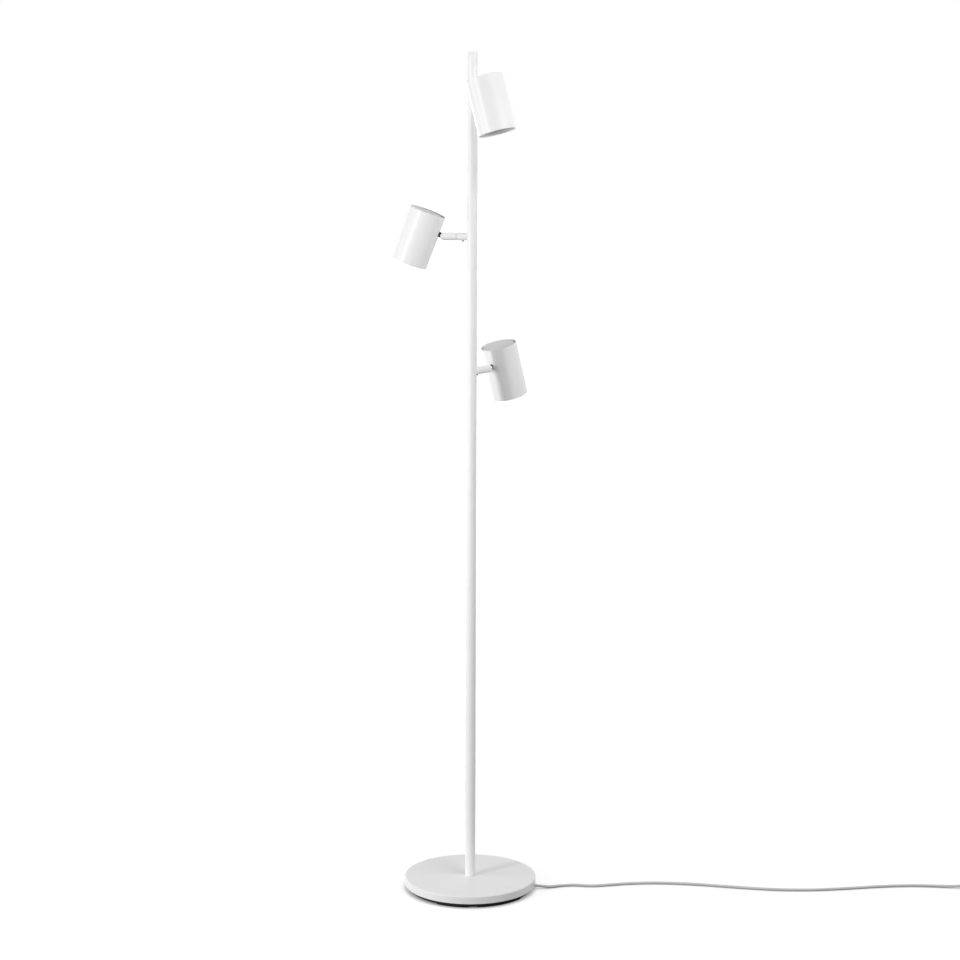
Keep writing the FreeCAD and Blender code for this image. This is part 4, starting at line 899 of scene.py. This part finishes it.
class LAMP_OT_lead(Operator):
    """Lay the lead on the floor, with its coil and tie"""
    bl_idname = "lamp.lead"
    bl_label = "Lead"

    def execute(self, context):
        radius = context.scene.lamp_shapes.cord_radius
        self.run(radius)
        self.coil(radius)
        return {"FINISHED"}

    def run(self, radius):
        start = Vector((GLAND_REACH * math.cos(GLAND_TURN), GLAND_REACH * math.sin(GLAND_TURN),
                        GLAND_LEVEL))
        end = Vector((low("switch_base").x, 0, SWITCH_LEVEL))
        route = [start] + [Vector(point) for point in LEAD_ROUTE] + [end]
        piece = nurbs_lead("lead_run", route, radius)
        dress(piece, "lead", "root", "cord_run")

    def coil(self, radius):
        start = Vector((high("switch_base").x, 0, SWITCH_LEVEL))
        lowest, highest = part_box("plug_body")
        finish = Vector((highest.x, COIL_MIDDLE[1] + PLUG_ASIDE,
                         lowest.z + (highest.z - lowest.z) / 2))
        piece = nurbs_lead("lead_coil", coil_route(start, finish), radius)
        dress(piece, "lead", "root", "cord_coil")
        self.tie()

    def tie(self):
        """Flat strap round the coil, a rounded loop swept along its width."""
        lowest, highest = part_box("cord_tie")
        strap, edge, corner = 0.0007, 0.0002, 0.0024

        def loop(inset, y):
            outline = rounded_box(lowest.x + inset, lowest.z + inset, highest.x - inset,
                                  highest.z - inset, corner - inset * 0.9)
            return [(x, y, z) for x, z in outline]

        near, far = lowest.y, highest.y
        stops = [(strap, near + edge), (strap * 0.7, near), (strap * 0.3, near), (0, near + edge),
                 (0, far - edge), (strap * 0.3, far), (strap * 0.7, far), (strap, far - edge)]
        piece = loft("coil_tie", [loop(inset, y) for inset, y in stops], closed=True)
        dress(piece, "tie_plastic", "root", "cord_tie")


# ---- foot switch and plug
def stadium_ring(middle, span, width, height, inset=0.0, steps=20):
    """Ring of points round a bar with round ends."""
    half = width / 2 - inset
    straight = span / 2 - width / 2
    ring = []
    for side in (1, -1):
        for step in range(steps + 1):
            angle = -math.pi / 2 + math.pi * step / steps
            ring.append((middle + side * (straight + half * math.cos(angle)),
                         side * half * math.sin(angle), height))
    return ring


def ribbed_nose(root, tip, reach, count, width, pitch):
    """Outline of a strain relief: a tapered core, and ribs that get smaller towards its tip."""
    thick, thin = root - 0.0006, 0.0029
    buried, edge = -0.001, 0.0002

    def core(place):
        return thick + (thin - thick) * place / reach

    outline = [(0.0, buried), (thick, buried)]
    for rib in range(count):
        radius = root - (root - tip) * rib / (count - 1)
        near = pitch * rib + width
        far = near + width
        outline += [(core(near), near), (radius - edge, near), (radius, near + edge),
                    (radius, far - edge), (radius - edge, far), (core(far), far)]
    return outline + [(thin, reach - edge), (thin - edge, reach), (0.0, reach)]


class LAMP_OT_switch(Operator):
    """Build the foot switch: two shells, ribbed noses and the push button"""
    bl_idname = "lamp.switch"
    bl_label = "Foot Switch"

    def execute(self, context):
        bottom, top = low("switch_base").z, high("switch_cover").z
        split = high("switch_base").z
        width = high("switch_cover").y - low("switch_cover").y
        left, right = low("switch_cover").x, high("switch_cover").x
        middle, span = (left + right) / 2, right - left
        gap, crown = 0.00015, 0.0034
        lower = [(0.0012, bottom), (0.0004, bottom + 0.0003), (0.0, bottom + 0.0012),
                 (0.0, split - gap * 2), (gap, split - gap)]
        upper = [(gap, split + gap), (0.0, split + gap * 2)]
        upper += [(crown * (1 - cosine), top - crown + crown * sine) for cosine, sine in quarter(8)]
        base, cover = [
            loft(name, [stadium_ring(middle, span, width, z, inset) for inset, z in profile])
            for name, profile in (("switch_lower_shell", lower), ("switch_upper_shell", upper))]
        button_radius, clearance = 0.012, 0.0003
        well = tube(0, button_radius + clearance, split + 0.001, top + 0.002)
        carve(cover, lathe("well cutter", well, place=Matrix.Translation((middle, 0, 0))))
        soften(cover, clearance, sharper=50.0)
        dress(cover, "white_plastic", "root", "switch_cover")
        self.noses(base, left, right)
        dress(base, "white_plastic", "root", "switch_base")
        self.button(middle, button_radius)
        return {"FINISHED"}

    def noses(self, base, left, right):
        """The strain reliefs at both ends of the lower shell."""
        ends = []
        for inner, outer, lay in ((left, low("switch_base").x, AGAINST_X),
                                  (right, high("switch_base").x, ALONG_X)):
            outline = ribbed_nose(0.004, 0.0032, abs(outer - inner), 3, 0.0012, 0.0024)
            place = Matrix.Translation((inner, 0, SWITCH_LEVEL)) @ lay
            ends.append(lathe("nose", outline, segments=40, place=place))
        join(base, ends)

    def button(self, middle, radius):
        """Push button with a flange that keeps it in, and a shallow round dish."""
        foot, top = low("switch_button").z, high("switch_button").z
        flange, flange_top = radius + 0.0013, foot + 0.0019
        edge, crown = 0.0002, 0.0010
        outline = rounded_corners([
            (0, foot, 0), (flange, foot, edge), (flange, flange_top, edge),
            (radius, flange_top, 0), (radius, top, crown),
        ], 4)
        dish, deep = 0.0096, 0.0008
        bowl = (dish * dish + deep * deep) / (deep * 2)
        steps = 10
        for step in range(steps + 1):
            reach = dish * (1 - step / steps)
            sag = math.sqrt(bowl * bowl - reach * reach)
            outline.append((reach, top - deep + bowl - sag))
        turned("switch_push_button", outline, "white_plastic", "foot_button", "switch_button",
               segments=96, place=Matrix.Translation((middle, 0, 0)))


class LAMP_OT_plug(Operator):
    """Build the flat two-pin plug with its sleeved pins"""
    bl_idname = "lamp.plug"
    bl_label = "Plug"

    def execute(self, context):
        lowest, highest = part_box("plug_body")
        middle = Vector((0, (lowest.y + highest.y) / 2, (lowest.z + highest.z) / 2))
        thick = highest.z - lowest.z
        wide = highest.y - lowest.y
        face = lowest.x
        relief = 0.020
        block_end = highest.x - relief

        def section(x, width, height, corner):
            ring = rounded_box(-width / 2, -height / 2, width / 2, height / 2, corner)
            return [(x, middle.y + y, middle.z + z) for y, z in ring]

        straight, corner = 0.014, 0.0026
        sections = [
            section(face, wide - 0.0014, thick - 0.0014, corner - 0.0006),
            section(face + 0.0003, wide - 0.0005, thick - 0.0005, corner - 0.0002),
            section(face + 0.0009, wide, thick, corner),
        ]
        first_groove, groove_pitch = 0.0036, 0.0026
        for groove in range(4):
            near = face + first_groove + groove_pitch * groove
            for along, dip in ((-0.0001, 0.0), (0.0001, 0.0004), (0.0003, 0.0006),
                               (0.0009, 0.0006), (0.0011, 0.0004), (0.0013, 0.0)):
                sections.append(section(near + along, wide, thick - dip * 2, corner))
        # The shoulders taper to the neck, with both ends of the taper eased.
        neck = 0.0160
        for part, keep in ((0.0, 0.0006), (0.04, 0.0002), (0.10, 0.0), (0.9, 0.0), (0.97, 0.0004),
                           (1.0, 0.0012)):
            width = wide + (neck - wide) * part - keep
            sections.append(section(face + straight + (block_end - face - straight) * part,
                                    width, thick - max(0.0, keep - 0.0006) * 2, corner))
        sections.append(section(block_end + 0.00005, neck - 0.0030, thick - 0.0030, 0.0020))
        shell = loft("plug_shell", sections)
        outline = ribbed_nose(0.0045, 0.0032, relief, 6, 0.0014, 0.0030)
        place = Matrix.Translation((block_end, middle.y, middle.z)) @ ALONG_X
        join(shell, [lathe("relief", outline, segments=40, place=place)])
        dress(shell, "white_plastic", "root", "plug_body")
        self.contacts(middle)
        return {"FINISHED"}

    def contacts(self, middle):
        """Two round pins with sleeved roots."""
        lowest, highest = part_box("plug_pins")
        radius, sleeve = 0.002, 0.00185
        reach = highest.x - lowest.x
        flat, nose = radius * 0.35, radius * 0.65
        outline = [(0, 0), (sleeve, 0), (sleeve, reach * 0.52), (radius, reach * 0.53)]
        outline += [(flat + nose * cosine, reach - nose + nose * sine)
                    for cosine, sine in quarter(6)]
        outline.append((0, reach))
        first, second = [
            lathe("contact", outline, segments=40,
                  place=Matrix.Translation((highest.x, y, middle.z)) @ AGAINST_X)
            for y in (lowest.y + radius, highest.y - radius)]
        first.name = "plug_contacts"
        join(first, [second])
        dress(first, "pin_brass", "root", "plug_pins")


# ---- stage
def softbox(name, bearing, reach, height, wide, tall, power, aim=None):
    """Area light that faces the pole, level or at a height, from a bearing from +X in degrees."""
    lamp = bpy.data.lights.new(name, "AREA")
    lamp.shape = "RECTANGLE"
    lamp.size = wide
    lamp.size_y = tall
    lamp.energy = power
    source = put(name, lamp)
    turn = math.radians(bearing)
    place = Vector((reach * math.cos(turn), reach * math.sin(turn), height))
    source.location = place
    inward = Vector((0, 0, height if aim is None else aim)) - place
    source.rotation_euler = inward.to_track_quat("-Z", "Y").to_euler()
    source.visible_camera = False


def seen_rays(nodes):
    """1 for rays that show the background: from the camera, or by gloss or glass."""
    path = nodes.add("ShaderNodeLightPath").outputs
    total = path["Is Camera Ray"]
    for name in ("Is Glossy Ray", "Is Transmission Ray"):
        total = nodes.combine("MAXIMUM", total, path[name])
    return total


class LAMP_OT_stage(Operator):
    """Set the floor, the soft light all round, the softboxes and the camera"""
    bl_idname = "lamp.stage"
    bl_label = "Stage"

    def execute(self, context):
        stage = context.scene.lamp_stage
        self.floor(stage)
        self.sky(stage)
        softbox("key", 219, 2.80, 0.95, 0.35, 1.60, stage.key_power)
        softbox("high key", 212, 2.80, 2.10, 0.35, 0.60, stage.high_power)
        softbox("left", 188, 2.60, 0.80, 0.90, 1.40, stage.left_power)
        softbox("right", 330, 1.90, 1.85, 1.60, 0.90, stage.right_power)
        softbox("top right", 303, 2.20, 3.20, 0.60, 0.60, stage.top_right_power, 1.2)
        softbox("back left", 120, 2.60, 0.80, 0.90, 1.30, stage.back_left_power)
        softbox("back right", 392, 2.60, 1.70, 0.90, 1.30, stage.back_right_power)
        self.camera(context.scene, stage)
        context.scene.view_settings.view_transform = "Standard"
        return {"FINISHED"}

    def floor(self, stage):
        """Grey floor that the camera sees as white, apart from a shade close to the object."""
        shape = bmesh.new()
        bmesh.ops.create_grid(shape, x_segments=1, y_segments=1, size=30.0)
        ground = mesh_object("floor", shape)
        paper = bpy.data.materials.new("pale floor")
        paper.use_nodes = True
        paper.node_tree.nodes.clear()
        nodes = Nodes(paper.node_tree)
        place = nodes.add("ShaderNodeTexCoord").outputs["Object"]
        away = nodes.add("ShaderNodeVectorMath", [(0, place)], operation="LENGTH")
        fill = nodes.span(away.outputs["Value"], stage.floor_fill,
                          stage.floor_fill + stage.far_fill, 0.5, 4.0)
        close = nodes.add("ShaderNodeAmbientOcclusion", [("Distance", stage.contact)], samples=8)
        lift = nodes.combine("MULTIPLY", seen_rays(nodes), fill)
        lift = nodes.combine("MULTIPLY", lift, close.outputs["AO"])
        glow = nodes.add("ShaderNodeEmission", [("Strength", lift)])
        grey = (stage.floor_grey,) * 3 + (1,)
        matt = nodes.add("ShaderNodeBsdfDiffuse", [("Color", grey)])
        both = nodes.add("ShaderNodeAddShader", [(0, matt.outputs[0]), (1, glow.outputs[0])])
        nodes.add("ShaderNodeOutputMaterial", [("Surface", both.outputs[0])])
        ground.data.materials.append(paper)

    def sky(self, stage):
        """Even light from all round, which the camera, gloss and glass see as white."""
        world = bpy.data.worlds.new("studio")
        bpy.context.scene.world = world
        world.use_nodes = True
        nodes = Nodes(world.node_tree)
        back = nodes.tree.nodes["Background"].inputs
        back["Color"].default_value = (1, 1, 1, 1)
        nodes.feed(back["Strength"], nodes.span(seen_rays(nodes), stage.sky, 1.0, 0.0, 1.0))

    def camera(self, scene, stage):
        view = bpy.data.cameras.new("camera")
        view.lens = stage.camera_lens
        view.sensor_width = 36.0
        view.sensor_fit = "HORIZONTAL"
        view.clip_end = 100.0
        scene.camera = put("camera", view)
        pitched = Matrix.Rotation(math.pi / 2 - stage.camera_pitch, 4, "X")
        rolled = Matrix.Rotation(stage.camera_roll, 4, "Z")
        scene.camera.matrix_world = Matrix.Translation(stage.camera_place) @ pitched @ rolled


# ---- panel and start
GROUPS = {"lamp_shapes": LampShapes, "lamp_finish": LampFinish, "lamp_stage": LampStage}
STEPS = ("kept_nodes", "disc", "pole", "arms", "spots", "switch", "plug", "lead", "stage")


class LAMP_PT_sidebar(Panel):
    """Every step and every setting of the lamp"""
    bl_label = "Tree Floor Lamp"
    bl_idname = "LAMP_PT_sidebar"
    bl_space_type = "VIEW_3D"
    bl_region_type = "UI"
    bl_category = "Lamp"

    def draw(self, context):
        for step in STEPS:
            self.layout.operator("lamp." + step)
        for group in GROUPS:
            settings = getattr(context.scene, group)
            column = self.layout.box().column()
            for name in settings.__annotations__:
                column.prop(settings, name)


CLASSES = (
    LampShapes, LampFinish, LampStage, LAMP_OT_kept_nodes, LAMP_OT_disc, LAMP_OT_pole,
    LAMP_OT_arms, LAMP_OT_spots, LAMP_OT_switch, LAMP_OT_plug, LAMP_OT_lead, LAMP_OT_stage,
    LAMP_PT_sidebar,
)


def register():
    for item in CLASSES:
        bpy.utils.register_class(item)
    for name, group in GROUPS.items():
        setattr(bpy.types.Scene, name, PointerProperty(type=group))


def unregister():
    for name in GROUPS:
        delattr(bpy.types.Scene, name)
    for item in reversed(CLASSES):
        bpy.utils.unregister_class(item)


def main():
    register()
    for step in STEPS:
        getattr(bpy.ops.lamp, step)()


if __name__ == "__main__":
    main()
